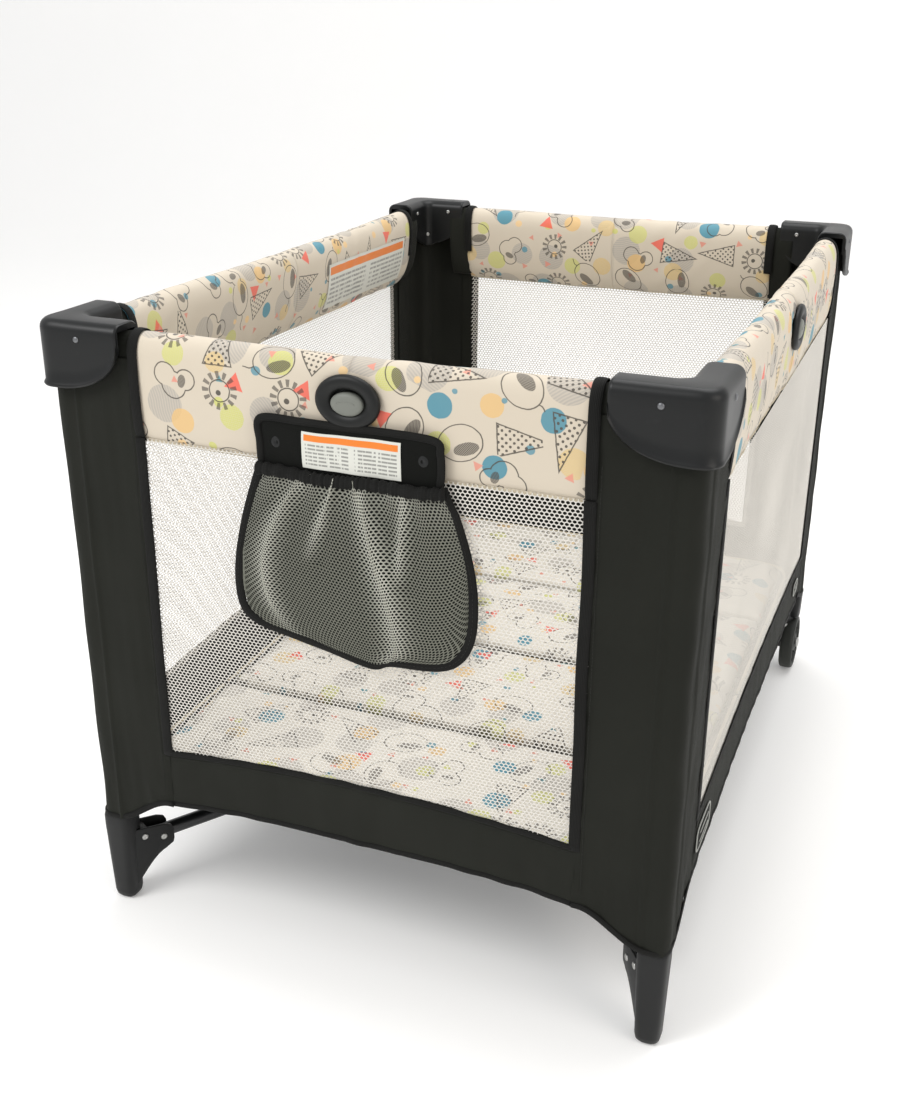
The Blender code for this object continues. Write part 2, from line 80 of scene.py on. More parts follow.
# Fabric
WALL_Y = -0.0160
FLANGE = 0.0885
COVER_END = 0.0865
PANEL_TOP = 0.702
PANEL_FOOT = {"n": 0.124, "f": 0.136}
LINING_LOW = 0.168
WINDOW_TOP = 0.617
ARCH_MIDDLE = 0.2475
ARCH_DROP = 0.014
SKIRT_MIDDLE = 0.173
SKIRT_DROP = 0.012
NET_PITCH = 0.0050
NET_RISE = 0.73
NET_STRAND = 0.00122

CORNERS = {"nl": (-1, -1), "nr": (1, -1), "fr": (1, 1), "fl": (-1, 1)}
CORNER_TURN = {"nl": 0, "nr": 90, "fr": 180, "fl": -90}
SIDES = {
    "near": (0, POST_X, (0.0, -POST_Y), ("nl", "nr")),
    "right": (90, POST_Y, (POST_X, 0.0), ("nr", "fr")),
    "far": (180, POST_X, (0.0, POST_Y), ("fr", "fl")),
    "left": (-90, POST_Y, (-POST_X, 0.0), ("fl", "nl")),
}
ARM_ALONG = Vector((POST_X - HUB_CORNER, POST_Y - HUB_CORNER, 0)).normalized()


def side_matrix(side):
    turn, _, (x, y), _ = SIDES[side]
    return Matrix.Translation((x, y, 0)) @ Matrix.Rotation(math.radians(turn), 4, "Z")


def corner_matrix(corner):
    sx, sy = CORNERS[corner]
    turn = Matrix.Rotation(math.radians(CORNER_TURN[corner]), 4, "Z")
    return Matrix.Translation((sx * POST_X, sy * POST_Y, 0)) @ turn


def rail_body(side, end):
    """The rail half at one end (-1 or 1) of a side; each is named after the side that it lies towards."""
    order = ("near", "right", "far", "left")
    return f"rail_{side}_{order[(order.index(side) + end) % 4]}"


# ---------------------------------------------------------------- shader helpers


def linear(code, alpha=1.0):
    """A colour given as #rrggbb, in the renderer's linear values."""
    values = [int(code[i : i + 2], 16) / 255 for i in (1, 3, 5)]
    return (*[v / 12.92 if v <= 0.04045 else ((v + 0.055) / 1.055) ** 2.4 for v in values], alpha)


def node(tree, kind, settings=None, links=None, out=0):
    """Adds a node. links maps an input to a value, or to the output socket that feeds it."""
    made = tree.nodes.new(kind)
    for key, value in (settings or {}).items():
        setattr(made, key, value)
    for key, value in (links or {}).items():
        value = value.socket if isinstance(value, Number) else value
        if isinstance(value, bpy.types.NodeSocket):
            tree.links.new(value, made.inputs[key])
        else:
            made.inputs[key].default_value = value
    return made.outputs[out] if made.outputs else None


class Number:
    """A shader number; arithmetic on it adds Math nodes."""

    def __init__(self, tree, socket):
        self.tree = tree
        self.socket = socket

    def do(self, operation, *others):
        links = dict(enumerate((self, *others)))
        return Number(self.tree, node(self.tree, "ShaderNodeMath", {"operation": operation}, links))

    def __add__(self, other):
        return self.do("ADD", other)

    def __sub__(self, other):
        return self.do("SUBTRACT", other)

    def __mul__(self, other):
        return self.do("MULTIPLY", other)

    def __truediv__(self, other):
        return self.do("DIVIDE", other)

    def size(self):
        return self.do("ABSOLUTE")

    def wave(self, pitch):
        """A sine of this length, from -1 to 1."""
        return (self * (2 * math.pi / pitch)).do("SINE")

    def inside(self, soft=0.0004):
        """1 where a distance is below zero, with a soft edge."""
        made = self * (-1 / soft) + 0.5
        return Number(self.tree, node(self.tree, "ShaderNodeClamp", links={0: made}))

    def between(self, low, high):
        return self.do("GREATER_THAN", low) * self.do("LESS_THAN", high)


def mixed(tree, share, a, b):
    """Colour b over colour a, by share."""
    settings = {"data_type": "RGBA"}
    return node(tree, "ShaderNodeMix", settings, {0: share, 6: a, 7: b}, out=2)


def noise(tree, vector, scale, detail=2.0, rough=0.5, out=0):
    links = {"Vector": vector, "Scale": scale, "Detail": detail, "Roughness": rough}
    return node(tree, "ShaderNodeTexNoise", links=links, out=out)


def ramp(tree, value, low, high):
    """Moves a value from 0..1 to low..high."""
    return node(tree, "ShaderNodeMapRange", links={0: value, 3: low, 4: high})


def bump(tree, height, strength, distance, normal=None):
    links = {"Height": height, "Strength": strength, "Distance": distance}
    if normal is not None:
        links["Normal"] = normal
    return node(tree, "ShaderNodeBump", links=links)


def new_material(name):
    """An empty material, its node tree and its Principled shader."""
    material = bpy.data.materials.new(name)
    material.use_nodes = True
    tree = material.node_tree
    return material, tree, tree.nodes["Principled BSDF"]


def settle(shader, tree, **inputs):
    """Sets the shader's sockets; a name's underscores stand for spaces."""
    for key, value in inputs.items():
        socket = shader.inputs[key.replace("_", " ")]
        value = value.socket if isinstance(value, Number) else value
        if isinstance(value, bpy.types.NodeSocket):
            tree.links.new(value, socket)
        else:
            socket.default_value = value


def object_point(tree):
    return node(tree, "ShaderNodeTexCoord", out=3)


def surface_point(tree):
    return node(tree, "ShaderNodeUVMap", {"uv_map": "metres"})


def split(tree, vector):
    """The x, y and z of a vector, as Numbers."""
    made = node(tree, "ShaderNodeSeparateXYZ", links={0: vector}).node
    return [Number(tree, made.outputs[i]) for i in range(3)]


# ---------------------------------------------------------------- materials


def moulded(name, colour, rough):
    """Injection-moulded plastic: spark-eroded grain, drawn at about 1 mm where the real one is finer, a slow
    change of gloss, and lighter scuffs."""
    material, tree, shader = new_material(name)
    point = object_point(tree)
    slow = noise(tree, point, 14.0, 3.0)
    grain = noise(tree, point, 900.0, 2.0)
    worn = noise(tree, point, 55.0, 6.0, 0.7)
    scuff = node(tree, "ShaderNodeMapRange", links={0: worn, 1: 0.60, 2: 0.78, 3: 0.0, 4: 0.35})
    base = linear(colour)
    light = tuple(min(1.0, c * 1.7 + 0.006) for c in base[:3]) + (1.0,)
    gloss = ramp(tree, slow, rough - 0.06, rough + 0.08)
    settle(shader, tree, Base_Color=mixed(tree, scuff, base, light), Roughness=gloss)
    settle(shader, tree, Normal=bump(tree, grain, 0.5, 0.00006), Specular_IOR_Level=0.30)
    return material


def painted(name, colour, rough):
    """Powder-coated steel tube: slight orange peel under a glossy skin."""
    material, tree, shader = new_material(name)
    point = object_point(tree)
    peel = noise(tree, point, 420.0, 1.0)
    slow = noise(tree, point, 9.0, 2.0)
    settle(shader, tree, Base_Color=linear(colour), Roughness=ramp(tree, slow, rough - 0.05, rough + 0.1))
    settle(shader, tree, Normal=bump(tree, peel, 0.35, 0.0001), Coat_Weight=0.25, Coat_Roughness=0.2)
    return material


def metal(name, colour, rough):
    """Bare or plated metal: fine turning marks in its gloss."""
    material, tree, shader = new_material(name)
    point = object_point(tree)
    marks = noise(tree, point, 1500.0, 2.0)
    gloss = ramp(tree, marks, rough - 0.08, rough + 0.1)
    settle(shader, tree, Base_Color=linear(colour), Metallic=1.0, Roughness=gloss)
    return material


def woven(name, colour, pitch=0.0007):
    """Plain-woven cloth: crossed threads, a little coarser than real so that they show, slubs, a slow change
    of shade and a soft sheen."""
    material, tree, shader = new_material(name)
    u, v, _ = split(tree, surface_point(tree))
    point = object_point(tree)
    weave = u.wave(pitch) * v.wave(pitch)
    slub = noise(tree, point, 260.0, 3.0, 0.6)
    slow = noise(tree, point, 7.0, 3.0)
    dark = tuple(c * 0.62 for c in linear(colour)[:3]) + (1.0,)
    light = tuple(c * 1.38 for c in linear(colour)[:3]) + (1.0,)
    shade = ramp(tree, slow, 0.15, 0.85)
    threads = Number(tree, ramp(tree, weave.socket, -0.14, 0.14)) + Number(tree, shade)
    height = weave * 0.5 + Number(tree, slub)
    settle(shader, tree, Base_Color=mixed(tree, threads, dark, light), Roughness=0.80)
    settle(shader, tree, Sheen_Weight=0.03, Sheen_Roughness=0.5, Specular_IOR_Level=0.12)
    settle(shader, tree, Normal=bump(tree, height, 0.8, 0.00016))
    return material


def stamp(tree, point, pitch, shift, jitter):
    """One scatter layer of a print: each cell's local x and y in metres, and three numbers of its own."""
    spread = {"voronoi_dimensions": "2D", "feature": "F1"}
    links = {"Scale": 1 / pitch, "Randomness": jitter}
    moved = node(tree, "ShaderNodeVectorMath", {"operation": "ADD"}, {0: point, 1: (shift, shift * 1.7, 0)})
    links["Vector"] = moved
    cell = node(tree, "ShaderNodeTexVoronoi", spread, links).node
    centre = cell.outputs["Position"]
    local = node(tree, "ShaderNodeVectorMath", {"operation": "SUBTRACT"}, {0: moved, 1: centre})
    own = split(tree, cell.outputs["Color"])
    turned = node(
        tree, "ShaderNodeVectorRotate", {"rotation_type": "Z_AXIS"}, {"Vector": local, "Angle": own[2] * 6.28}
    )
    x, y, _ = split(tree, turned)
    return x, y, own


def away(x, y):
    """Distance from a cell's centre."""
    return (x * x + y * y).do("SQRT")


def print_colour(tree, point, base):
    """Generic nursery print: plain and hatched discs, triangles, and line doodles of balloons, cones, bursts
    and clouds."""
    line = linear("#262422")
    wobble = noise(tree, point, 160.0, 2.0, out=1)
    bent = node(
        tree, "ShaderNodeVectorMath", {"operation": "MULTIPLY_ADD"}, {0: wobble, 1: (0.0012,) * 3, 2: point}
    )
    tint = linear(base)
    # large hatched discs
    x, y, own = stamp(tree, bent, 0.069, 0.3, 0.60)
    disc = (away(x, y) - (own[0] * 0.006 + 0.0175)).inside(0.0007)
    hatch = (y + (x.wave(0.035) * 0.0007)).wave(0.0031) * 0.22 + 0.62
    tint = mixed(tree, disc * own[1].between(0.0, 0.62) * hatch, tint, linear("#a29d96"))
    # coloured discs, one kind of them scribbled over
    x, y, own = stamp(tree, bent, 0.058, 1.9, 0.70)
    disc = (away(x, y) - (own[0] * 0.006 + 0.0095)).inside(0.0006)
    curl = (x + y.wave(0.004) * 0.001).wave(0.0026) * 0.25 + 0.72
    for low, high, code, share in (
        (0.00, 0.20, "#2f8499", 0.95),
        (0.20, 0.36, "#dcb26c", 0.80),
        (0.36, 0.54, "#d3b678", curl),
        (0.54, 0.74, "#c5c667", curl),
    ):
        tint = mixed(tree, disc * own[1].between(low, high) * share, tint, linear(code))
    # small discs
    x, y, own = stamp(tree, bent, 0.049, 4.3, 0.85)
    disc = (away(x, y) - (own[0] * 0.003 + 0.0028)).inside(0.0006)
    for low, high, code in ((0.0, 0.22, "#2f8499"), (0.22, 0.34, "#e3bf86"), (0.34, 0.46, "#c5c667")):
        tint = mixed(tree, disc * own[1].between(low, high) * 0.85, tint, linear(code))
    # triangles, large and small
    for pitch, shift, small, code, share in (
        (0.095, 3.1, 0.0058, "#e4523f", 0.42),
        (0.050, 7.7, 0.0022, "#d98a78", 0.40),
    ):
        x, y, own = stamp(tree, bent, pitch, shift, 0.8)
        slope = (x.size() * 0.866 + y * 0.5).do("MAXIMUM", y * -1.0)
        solid = (slope - (own[0] * 0.001 + small)).inside(0.0006)
        tint = mixed(tree, solid * own[1].between(0.0, share) * 0.9, tint, linear(code))
        tint = mixed(tree, solid * own[1].between(share, share + 0.10) * 0.9, tint, linear("#2f8490"))
    # line doodles
    x, y, own = stamp(tree, bent, 0.062, 5.3, 0.55)
    doodle_size = 1.35
    x, y = x * (1 / doodle_size), y * (1 / doodle_size)
    pen = 0.00050
    oval = away(x * 1.25, y) - 0.017
    dark_side = away((x - 0.005) * 2.1, y - 0.003) - 0.010
    string = (x + y.wave(0.016) * 0.0016).size() * y.between(-0.033, -0.017)
    string = string + (y.between(-0.033, -0.017) * -0.01 + 0.01)
    scribble = (x + y * 0.6).wave(0.0013) * 0.25 + 0.80
    balloon = (oval.size() - pen).inside().do("MAXIMUM", (string - pen).inside())
    balloon = balloon.do("MAXIMUM", dark_side.inside() * scribble)
    cone = (x.size() * 0.958 + y * 0.287).do("MAXIMUM", y * -1.0 - 0.010) - 0.0068
    spots = (x.wave(0.0058) * y.wave(0.0058)).do("GREATER_THAN", 0.45) * cone.inside()
    cone = (cone.size() - pen).inside().do("MAXIMUM", spots)
    reach = away(x, y)
    angle = y.do("ARCTAN2", x)
    rays = (angle * 13.0).do("SINE").do("GREATER_THAN", 0.1) * reach.between(0.0095, 0.0150)
    burst = ((reach - 0.0085).size() - pen).inside().do("MAXIMUM", rays * 0.8)
    burst = burst.do("MAXIMUM", (away(x, y - 0.002) - 0.0022).inside())
    puff = (away(x - 0.009, y + 0.001) - 0.009).do("MINIMUM", away(x + 0.009, y + 0.002) - 0.008)
    puff = puff.do("MINIMUM", away(x, y - 0.005) - 0.0105)
    shadow = (away((x + 0.006) * 1.6, y) - 0.0052).inside() * scribble
    cloud = (puff.size() - pen).inside().do("MAXIMUM", shadow)
    for low, high, shape in (
        (0.0, 0.30, balloon),
        (0.30, 0.56, cone),
        (0.56, 0.76, burst),
        (0.76, 1.0, cloud),
    ):
        tint = mixed(tree, shape * own[1].between(low, high) * 0.92, tint, line)
    return tint


def printed(name, base, mapped):
    """Printed woven cotton blend. Where it is mapped, the print follows the piece's UV map, in metres; else
    it follows x and y, and is drawn a little larger."""
    material, tree, shader = new_material(name)
    point = surface_point(tree) if mapped else object_point(tree)
    u, v, _ = split(tree, point)
    weave = u.wave(0.0006) * v.wave(0.0006)
    crumple = noise(tree, object_point(tree), 38.0, 4.0, 0.55)
    height = weave * 0.2 + Number(tree, crumple) * 3.0
    grow = 1.0 if mapped else 0.86
    flat = node(tree, "ShaderNodeCombineXYZ", links={0: u * grow, 1: v * grow, 2: 0.0})
    colour = print_colour(tree, flat, base)
    worn = ramp(tree, noise(tree, object_point(tree), 11.0, 4.0), 0.0, 0.16)
    colour = mixed(tree, worn, colour, linear("#b9a88f"))
    settle(shader, tree, Base_Color=colour, Roughness=0.72, Sheen_Weight=0.15)
    settle(shader, tree, Normal=bump(tree, height, 0.5, 0.00025))
    return material


def knit(name, colour, rough=0.7, fold_highlight=None):
    """Knitted netting yarn: the fuzz and twist of its strands, and a painted highlight, a paler colour where
    it folds and gathers.
    """
    material, tree, shader = new_material(name)
    point = object_point(tree)
    twist = noise(tree, point, 1100.0, 2.0)
    slow = noise(tree, point, 6.0, 2.0)
    base = linear(colour)
    dark = tuple(c * 0.80 for c in base[:3]) + (1.0,)
    tint = mixed(tree, slow, dark, base)
    # A painted highlight: the fold attribute mixes in the paler colour on folds and gathers.
    if fold_highlight:
        fold = node(tree, "ShaderNodeAttribute", {"attribute_name": "fold"}, out=2)
        tint = mixed(tree, fold, tint, linear(fold_highlight))
    settle(shader, tree, Base_Color=tint, Roughness=rough, Sheen_Weight=0.05, Specular_IOR_Level=0.2)
    settle(shader, tree, Normal=bump(tree, twist, 0.6, 0.0003))
    return material


def ribbed(name, colour, pitch=0.0016):
    """Grosgrain binding tape: cross ribs along its length."""
    material, tree, shader = new_material(name)
    along, _, _ = split(tree, surface_point(tree))
    ribs = along.wave(pitch)
    slow = noise(tree, object_point(tree), 30.0, 3.0)
    base = linear(colour)
    light = tuple(c * 1.5 + 0.004 for c in base[:3]) + (1.0,)
    settle(shader, tree, Base_Color=mixed(tree, slow, base, light), Roughness=0.7, Specular_IOR_Level=0.15)
    settle(shader, tree, Sheen_Weight=0.02, Normal=bump(tree, ribs, 0.5, 0.0003))
    return material


def care_label(name, width, height):
    """White satin label: an orange band above rows of plain grey bars. It has no writing."""
    material, tree, shader = new_material(name)
    u, v, _ = split(tree, surface_point(tree))
    point = object_point(tree)
    inset = 0.07 * height
    band = v.between(height * 0.76, height - inset) * u.between(inset, width - inset)
    row = (v.wave(height * 0.105)).do("GREATER_THAN", 0.05)
    stretched = node(tree, "ShaderNodeCombineXYZ", links={0: u * 900.0, 1: v * 60.0, 2: 0.0})
    gaps = Number(tree, noise(tree, stretched, 0.4, 3.0)).do("GREATER_THAN", 0.44)
    right_column = u.between(width * 0.54, width - inset * 1.5)
    columns = u.between(inset * 1.5, width * 0.48).do("MAXIMUM", right_column)
    bars = row * gaps * columns * v.between(inset, height * 0.70)
    colour = mixed(tree, bars * 0.62, linear("#cfcfc6"), linear("#3a3b38"))
    colour = mixed(tree, band, colour, linear("#df7714"))
    satin = noise(tree, point, 240.0, 2.0)
    settle(shader, tree, Base_Color=colour, Roughness=0.45, Sheen_Weight=0.2)
    settle(shader, tree, Normal=bump(tree, satin, 0.3, 0.0002))
    return material


CHARCOAL = woven("charcoal polyester weave", "#21221d")
LINER = woven("charcoal liner weave", "#20211d", pitch=0.0009)
TAPE = ribbed("black grosgrain tape", "#0c0c0a")
SKIRT_CLOTH = woven("charcoal skirt weave", "#22231e", pitch=0.0008)
PRINT = printed("printed cotton cover", "#cbc0ae", mapped=True)
PAD_PRINT = printed("printed cotton pad", "#dcd6ca", mapped=False)
HEM = woven("cream cotton hem", "#d9cdb4", pitch=0.0006)
NETTING = knit("cream knitted netting", "#e2ded6")
# Its paler grey is a painted highlight on the bag's folds and gathers.
POCKET_NET = knit("grey knitted pocket mesh", "#74756a", fold_highlight="#c4c4b8")
POCKET_CLOTH = woven("black pocket weave", "#0d0e0b", pitch=0.0006)
CAP_PLASTIC = moulded("semi-gloss black moulded plastic", "#141515", 0.38)
FOOT_PLASTIC = moulded("satin black moulded plastic", "#151616", 0.45)
BEZEL_PLASTIC = moulded("satin black moulded latch plastic", "#121312", 0.46)
BUTTON_PLASTIC = moulded("satin grey moulded plastic", "#74766f", 0.45)
WHEEL_PLASTIC = moulded("hard grey-green moulded wheel plastic", "#2b2d29", 0.52)
BOSS_PLASTIC = moulded("slate-grey moulded plastic", "#6c757b", 0.5)
TUBE_PAINT = painted("black powder-coated steel", "#101112", 0.36)
RIVET_DARK = metal("black-oxide steel rivet", "#77787a", 0.40)
RIVET = metal("zinc-plated steel rivet", "#b4b4b1", 0.34)
WEBBING = ribbed("red polyester webbing", "#7d1f24", pitch=0.0022)
THREAD_DARK = knit("black polyester sewing thread", "#1d1d1a", 0.6)
THREAD_PALE = knit("cream polyester sewing thread", "#e2d8c4", 0.6)
PATCH_THREAD = knit("grey embroidery thread", "#a9aaa4", 0.6)

# ---------------------------------------------------------------- mesh helpers


def link(name, mesh, material):
    obj = bpy.data.objects.new(name, mesh)
    bpy.context.scene.collection.objects.link(obj)
    mesh.materials.clear()
    mesh.materials.append(material)
    return obj


def grid(name, points, material, matrix=None, closed=False, ends=False, uv=None, flip=False):
    """A smooth surface through points[row][column]. closed joins the last column to the first; ends fills
    the first and last rows. Its UV map is in metres: uv, or else the lengths along its rows and columns."""
    points = np.asarray(points, float)
    rows, columns = points.shape[:2]
    if uv is None:
        wrapped = np.concatenate([points, points[:, :1]], 1) if closed else points
        across = np.linalg.norm(np.diff(wrapped, axis=1), axis=2).mean(0)
        along = np.linalg.norm(np.diff(points, axis=0), axis=2).mean(1)
        u, v = np.concatenate([[0], np.cumsum(across)]), np.concatenate([[0], np.cumsum(along)])
        uv = np.stack(np.meshgrid(u, v), -1)
    uv = np.asarray(uv, float)
    faces = []
    corners = []
    for r in range(rows - 1):
        for c in range(columns if closed else columns - 1):
            d = (c + 1) % columns
            face = [r * columns + c, r * columns + d, (r + 1) * columns + d, (r + 1) * columns + c]
            places = [(r, c), (r, c + 1), (r + 1, c + 1), (r + 1, c)]
            faces.append(face[::-1] if flip else face)
            corners += places[::-1] if flip else places
    if ends:
        for r, order in ((0, -1), (rows - 1, 1)):
            face = [r * columns + c for c in range(columns)][:: -order if flip else order]
            faces.append(face)
            corners += [(r, i % columns) for i in face]
    mesh = bpy.data.meshes.new(name)
    mesh.from_pydata(points.reshape(-1, 3).tolist(), [], faces)
    layer = mesh.uv_layers.new(name="metres")
    layer.data.foreach_set("uv", np.array([uv[r, c] for r, c in corners]).ravel())
    mesh.shade_smooth()
    obj = link(name, mesh, material)
    if matrix is not None:
        mesh.transform(matrix)
    return obj


def smooth_path(points, step, closed=False):
    """Points at even steps along a Catmull-Rom curve through the given ones."""
    points = [np.array(p, float) for p in points]
    count = len(points)
    dense = []
    for i in range(count if closed else count - 1):
        if closed:
            a, b, c, d = (points[(i + k) % count] for k in (-1, 0, 1, 2))
        else:
            a, b, c, d = (points[min(max(i + k, 0), count - 1)] for k in (-1, 0, 1, 2))
        for k in range(12):
            t = k / 12
            bend, twist = 2 * a - 5 * b + 4 * c - d, 3 * b - a - 3 * c + d
            dense.append(0.5 * (2 * b + (c - a) * t + bend * t * t + twist * t**3))
    dense.append(points[0] if closed else points[-1])
    return resample(np.array(dense), step, closed)


def resample(points, step, closed=False):
    """The same line with even steps; a closed line leaves out its repeated last point."""
    points = np.asarray(points, float)
    lengths = np.concatenate([[0], np.cumsum(np.linalg.norm(np.diff(points, axis=0), axis=1))])
    count = max(2, int(round(lengths[-1] / step)) + 1)
    at = np.linspace(0, lengths[-1], count)
    line = np.stack([np.interp(at, lengths, points[:, k]) for k in range(points.shape[1])], 1)
    return line[:-1] if closed else line


def sweep(name, path, section, facing, material, matrix=None, loop=False, ends=True):
    """Carries a closed section, in (side, out), along a path. facing is the out direction, one for all or
    one for each point."""
    path = np.asarray(path, float)
    facing = np.broadcast_to(np.asarray(facing, float), path.shape)
    if loop:
        ahead, behind = np.roll(path, -1, 0), np.roll(path, 1, 0)
    else:
        ahead = np.vstack([path[1:], path[-1:]])
        behind = np.vstack([path[:1], path[:-1]])
    tangent = ahead - behind
    tangent /= np.linalg.norm(tangent, axis=1, keepdims=True)
    side = np.cross(tangent, facing)
    side /= np.linalg.norm(side, axis=1, keepdims=True)
    out = np.cross(side, tangent)
    section = np.asarray(section, float)
    rings = path[:, None] + side[:, None] * section[None, :, :1] + out[:, None] * section[None, :, 1:]
    if loop:
        rings = np.concatenate([rings, rings[:1]], 0)
    obj = grid(name, rings, material, matrix, closed=True, ends=ends and not loop)
    if loop:
        weld(obj)
    return outward(obj)


def outward(obj):
    """Turns a closed piece's faces outwards."""
    bm = bmesh.new()
    bm.from_mesh(obj.data)
    bmesh.ops.recalc_face_normals(bm, faces=bm.faces)
    bm.to_mesh(obj.data)
    bm.free()
    return obj


def weld(obj, distance=1e-5):
    bm = bmesh.new()
    bm.from_mesh(obj.data)
    bmesh.ops.remove_doubles(bm, verts=bm.verts, dist=distance)
    bm.to_mesh(obj.data)
    bm.free()
    return obj


def oval(a, b, sides=12):
    angles = np.arange(sides) * 2 * math.pi / sides
    return np.stack([a * np.cos(angles), b * np.sin(angles)], 1)


def lathe(name, profile, material, matrix=None, sides=32):
    """Turns a profile of (radius, height) about Z; a radius of zero closes it."""
    profile = np.asarray(profile, float)
    angles = np.arange(sides) * 2 * math.pi / sides
    radius, height = profile[:, :1], profile[:, 1:]
    points = np.stack([radius * np.cos(angles), radius * np.sin(angles), height + 0 * angles], -1)
    return outward(weld(grid(name, points, material, matrix, closed=True)))


def bake(obj, **modifiers):
    """Adds modifiers, given as type={settings}, and makes their result the object's mesh."""
    for kind, values in modifiers.items():
        modifier = obj.modifiers.new(kind.lower(), kind)
        for key, value in values.items():
            setattr(modifier, key, value)
    depsgraph = bpy.context.evaluated_depsgraph_get()
    mesh = bpy.data.meshes.new_from_object(obj.evaluated_get(depsgraph))
    obj.modifiers.clear()
    obj.data = mesh
    return obj


def extruded(name, outline, low, high, material, matrix=None, soft=0.0015, segments=3):
    """A plate with the outline's shape between two heights, with rounded edges."""
    bm = bmesh.new()
    face = bm.faces.new([bm.verts.new((x, y, low)) for x, y in outline])
    made = bmesh.ops.extrude_face_region(bm, geom=[face])
    moved = [v for v in made["geom"] if isinstance(v, bmesh.types.BMVert)]
    bmesh.ops.translate(bm, verts=moved, vec=(0, 0, high - low))
    bmesh.ops.recalc_face_normals(bm, faces=bm.faces)
    mesh = bpy.data.meshes.new(name)
    bm.to_mesh(mesh)
    bm.free()
    obj = link(name, mesh, material)
    settings = {"width": soft, "segments": segments, "limit_method": "ANGLE", "angle_limit": math.radians(35)}
    bake(obj, BEVEL=settings)
    obj.data.shade_smooth()
    obj.data.set_sharp_from_angle(angle=math.radians(38))
    if matrix is not None:
        obj.data.transform(matrix)
    return obj


def joined(name, *objects):
    """One object from several, with the first one's material."""
    bm = bmesh.new()
    for obj in objects:
        bm.from_mesh(obj.data)
    mesh = bpy.data.meshes.new(name)
    bm.to_mesh(mesh)
    bm.free()
    made = link(name, mesh, objects[0].data.materials[0])
    for obj in objects:
        bpy.data.objects.remove(obj)
    return made


def ripple(points, seed, scale=40.0, count=7):
    """Smooth noise of about -1..1 at each point."""
    rng = np.random.default_rng(seed)
    points = np.asarray(points, float)
    total = np.zeros(points.shape[:-1])
    for _ in range(count):
        direction = rng.normal(size=points.shape[-1]) * scale
        total += np.sin(points @ direction + rng.uniform(0, 6.28)) * rng.uniform(0.5, 1.0)
    return total / math.sqrt(count)


def at_rest(obj, body, slot, *nodes):
    """What every finished piece needs: its body and the CAD nodes that it stands for. Its slot is not used.
    """
    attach(obj, body)
    if nodes:
        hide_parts(*nodes)
    return obj


def surface(obj):
    return sum(polygon.area for polygon in obj.data.polygons)


def cloth(obj, width, length, held, rests_on, pieces=()):
    """Finds a sheet's flat area, what its mesh measures within the cut rectangle; nothing uses it."""
    area = min(surface(obj), width * length)
    return obj


# ---------------------------------------------------------------- Geometry Nodes: one unit on many points


def repeat_tree():
    """Puts a unit object on every point, turned by the point's "turn", with a seeded change of size."""
    tree = bpy.data.node_groups.new("repeat on points", "GeometryNodeTree")
    interface = tree.interface
    interface.new_socket("Geometry", in_out="INPUT", socket_type="NodeSocketGeometry")
    interface.new_socket("Unit", in_out="INPUT", socket_type="NodeSocketObject")
    interface.new_socket("Finish", in_out="INPUT", socket_type="NodeSocketMaterial")
    for name, value in (("Size", 1.0), ("Size change", 0.0), ("Merge distance", 0.0)):
        socket = interface.new_socket(name, in_out="INPUT", socket_type="NodeSocketFloat")
        socket.default_value = value
    interface.new_socket("Seed", in_out="INPUT", socket_type="NodeSocketInt")
    interface.new_socket("Geometry", in_out="OUTPUT", socket_type="NodeSocketGeometry")
    given = node(tree, "NodeGroupInput").node.outputs
    turn = node(tree, "GeometryNodeInputNamedAttribute", {"data_type": "FLOAT_VECTOR"}, {"Name": "turn"})
    unit = node(tree, "GeometryNodeObjectInfo", links={0: given["Unit"]}).node.outputs["Geometry"]
    low = node(tree, "ShaderNodeMath", {"operation": "SUBTRACT"}, {0: given["Size"], 1: given["Size change"]})
    high = node(tree, "ShaderNodeMath", {"operation": "ADD"}, {0: given["Size"], 1: given["Size change"]})
    links = {2: low, 3: high, 8: given["Seed"]}
    size = node(tree, "FunctionNodeRandomValue", {"data_type": "FLOAT"}, links, out=1)
    links = {"Points": given["Geometry"], "Instance": unit, "Rotation": turn, "Scale": size}
    placed = node(tree, "GeometryNodeInstanceOnPoints", links=links)
    solid = node(tree, "GeometryNodeRealizeInstances", links={0: placed})
    links = {"Geometry": solid, "Distance": given["Merge distance"]}
    merged = node(tree, "GeometryNodeMergeByDistance", links=links)
    links = {"Geometry": merged, "Material": given["Finish"]}
    finished = node(tree, "GeometryNodeSetMaterial", links=links)
    node(tree, "NodeGroupOutput", links={0: finished})
    return tree


REPEAT = repeat_tree()


def repeated(name, unit, points, turns, material, matrix=None, change=0.0, seed=1, merge=0.0):
    """A plain mesh of the unit on every point. turns are Euler angles, one for all or one for each."""
    mesh = bpy.data.meshes.new(name)
    mesh.from_pydata([tuple(p) for p in np.asarray(points, float)], [], [])
    turns = np.broadcast_to(np.asarray(turns, float), (len(points), 3)).astype(np.float32)
    mesh.attributes.new("turn", "FLOAT_VECTOR", "POINT").data.foreach_set("vector", turns.ravel())
    obj = link(name, mesh, material)
    modifier = obj.modifiers.new("repeat", "NODES")
    modifier.node_group = REPEAT
    values = {"Unit": unit, "Finish": material, "Size change": change, "Seed": seed, "Merge distance": merge}
    for item in REPEAT.interface.items_tree:
        if item.in_out == "INPUT" and item.name in values:
            modifier[item.identifier] = values[item.name]
    bake(obj)
    bpy.data.objects.remove(unit)
    for polygon in obj.data.polygons:
        polygon.material_index = 0
    obj.data.materials.clear()
    obj.data.materials.append(material)
    if matrix is not None:
        obj.data.transform(matrix)
    return obj


def stitch_unit(length, radius):
    """One sewn stitch along X: a low capsule of thread."""
    rings = [(-0.5, 0.35), (-0.36, 0.85), (0.0, 1.0), (0.36, 0.85), (0.5, 0.35)]
    section = oval(radius, radius * 0.8, 6)
    points = [[(x * length, s * k, t * k) for s, t in section] for x, k in rings]
    return outward(grid("stitch unit", points, THREAD_DARK, closed=True, ends=True))


